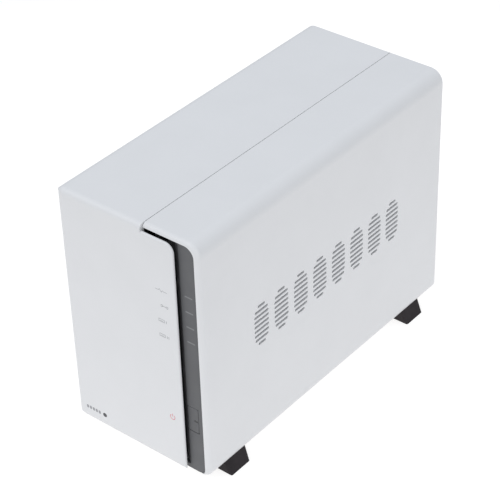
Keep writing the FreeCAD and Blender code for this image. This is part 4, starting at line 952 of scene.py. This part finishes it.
def make_wires(name, route, node, materials, radius, spread, twist):
    """A bundle of insulated wires along a route, in place of a CAD lead.

    Each wire lies spread away from the route, and the bundle turns by twist at every point of it.
    """
    for index, material in enumerate(materials):
        data = bpy.data.curves.new(f"{name}_{index + 1}", "CURVE")
        data.dimensions = "3D"
        data.bevel_depth = radius * MM
        data.bevel_resolution = 4
        data.use_fill_caps = True
        spline = data.splines.new("NURBS")
        spline.points.add(len(route) - 1)
        for step, (point, place) in enumerate(zip(spline.points, route)):
            before = Vector(route[max(step - 1, 0)])
            after = Vector(route[min(step + 1, len(route) - 1)])
            along = (after - before).normalized()
            side = along.cross(Vector(BUNDLE_LEAN)).normalized()
            across = along.cross(side)
            angle = 2 * math.pi * index / len(materials) + twist * step
            offset = (side * math.cos(angle) + across * math.sin(angle)) * spread
            point.co = (*((Vector(place) + offset) * MM), 1.0)
        spline.order_u = 3
        spline.use_endpoint_u = True
        data.materials.append(material)
        made = bpy.data.objects.new(f"{name}_{index + 1}", data)
        bpy.context.scene.collection.objects.link(made)
        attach(made, "root")
    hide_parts(node)


def make_leads_between_boards():
    """The front board's five wires, held by a cable tie, and the fan's three."""
    black, grey = SLOTS["lead_black"], TRIM["wire_grey"]
    red, yellow = TRIM["wire_red"], TRIM["wire_yellow"]
    front = (black, grey, black, grey, black)
    make_wires("front_board_wire", FRONT_LEAD_ROUTE, "front_board_lead", front, 0.55, 0.95, 0.5)
    make_wires("fan_wire", FAN_LEAD_ROUTE, "fan_lead", (black, red, yellow), 0.5, 0.6, 0.7)
    tie = Solid()
    ring = ((1.55, -0.9), (1.95, -0.9), (1.95, 0.9), (1.55, 0.9), (1.55, -0.9))
    tie.turned(ring, (41.3, -66, 30.6), (-0.2, 0.95, -0.3), 28)
    tie.piece("cable_tie", SLOTS["socket_white"], "socket_white", "root", 0.1)


def make_details():
    """Every piece that the CAD model doesn't hold."""
    print_light_marks()
    print_power_mark()
    print_corner_mark()
    print_rear_marks()
    make_labels()
    make_chips()
    make_leads()
    make_capacitors()
    make_inductors()
    make_contacts()
    make_socket_trim()
    make_battery_mark()
    make_front_board_parts()
    make_disk_trim()
    make_fan_trim()
    make_leads_between_boards()


# ---- studio ----------------------------------------------------------------------------------------
def make_floor():
    """Pale floor that glows like a light table, most of all close to the object."""
    bpy.ops.mesh.primitive_plane_add(size=FLOOR_SIZE, location=(0, 0, LOW.z))
    floor = bpy.context.object
    floor.name = "floor"
    surface = Surface("floor")
    distance = surface.add("ShaderNodeVectorMath", operation="LENGTH")
    surface.link(surface.place, distance.inputs[0])
    glow = surface.add("ShaderNodeMapRange", interpolation_type="SMOOTHSTEP")
    surface.link(distance.outputs["Value"], glow.inputs["Value"])
    glow.inputs["From Min"].default_value, glow.inputs["From Max"].default_value = FLOOR_GLOW_REACH
    glow.inputs["To Min"].default_value = FLOOR_GLOW_NEAR
    glow.inputs["To Max"].default_value = FLOOR_GLOW_FAR
    surface.feed("Emission Strength", glow.outputs["Result"])
    surface.set(emission_color=rgba(FLOOR_GLOW_COLOUR), base_color=rgba(FLOOR_GREY), roughness=0.9)
    floor.data.materials.append(surface.material)


def make_soft_box(name, direction, size, power):
    """A square soft box that faces the object from a direction."""
    data = bpy.data.lights.new(name, "AREA")
    data.size = size
    data.energy = power
    lamp = bpy.data.objects.new(name, data)
    lamp.location = CENTRE + Vector(direction).normalized() * LAMP_DISTANCE
    lamp.rotation_euler = (lamp.location - CENTRE).to_track_quat("Z", "Y").to_euler()
    bpy.context.scene.collection.objects.link(lamp)


def make_dome():
    """A slightly cool sky that grows brighter overhead."""
    world = bpy.data.worlds.new("studio")
    world.use_nodes = True
    tree = world.node_tree
    direction = tree.nodes.new("ShaderNodeTexCoord").outputs["Generated"]
    parts = tree.nodes.new("ShaderNodeSeparateXYZ")
    tree.links.new(direction, parts.inputs["Vector"])
    strength = tree.nodes.new("ShaderNodeMapRange")
    tree.links.new(parts.outputs["Z"], strength.inputs["Value"])
    strength.inputs["From Min"].default_value = 0.0
    strength.inputs["From Max"].default_value = 1.0
    strength.inputs["To Min"].default_value = DOME_AT_HORIZON
    strength.inputs["To Max"].default_value = DOME_OVERHEAD
    backdrop = tree.nodes["Background"]
    tree.links.new(strength.outputs["Result"], backdrop.inputs["Strength"])
    backdrop.inputs["Color"].default_value = rgba(DOME_COLOUR)
    bpy.context.scene.world = world


def make_studio():
    """Sky, floor and two soft boxes; the view transform leaves the tones as they are."""
    bpy.context.scene.view_settings.view_transform = "Standard"
    make_dome()
    make_floor()
    make_soft_box("soft_box_key", KEY_DIRECTION, LAMP_SIZE, KEY_POWER)
    make_soft_box("soft_box_side", SIDE_DIRECTION, LAMP_SIZE, SIDE_POWER)


def make_camera():
    """A long lens above the right front corner."""
    azimuth, elevation = math.radians(CAMERA_AZIMUTH), math.radians(CAMERA_ELEVATION)
    back = Vector((
        math.sin(azimuth) * math.cos(elevation),
        -math.cos(azimuth) * math.cos(elevation),
        math.sin(elevation),
    ))
    right = Vector((0, 0, 1)).cross(back).normalized()
    up = back.cross(right)
    pose = Matrix((right, up, back)).transposed().to_4x4()
    pose = Matrix.Translation(CAMERA_AIM + back * CAMERA_DISTANCE) @ pose
    pose = pose @ Matrix.Rotation(math.radians(CAMERA_ROLL), 4, "Z")
    data = bpy.data.cameras.new("camera")
    data.sensor_width = SENSOR
    data.lens = FOCAL_LENGTH
    data.clip_end = 50.0
    camera = bpy.data.objects.new("camera", data)
    camera.matrix_world = pose
    bpy.context.scene.collection.objects.link(camera)
    bpy.context.scene.camera = camera


make_camera()
make_studio()
dress_cad_nodes()
NODES["power_button_lens"].data.materials[0] = TRIM["smoked_lens"]
make_details()
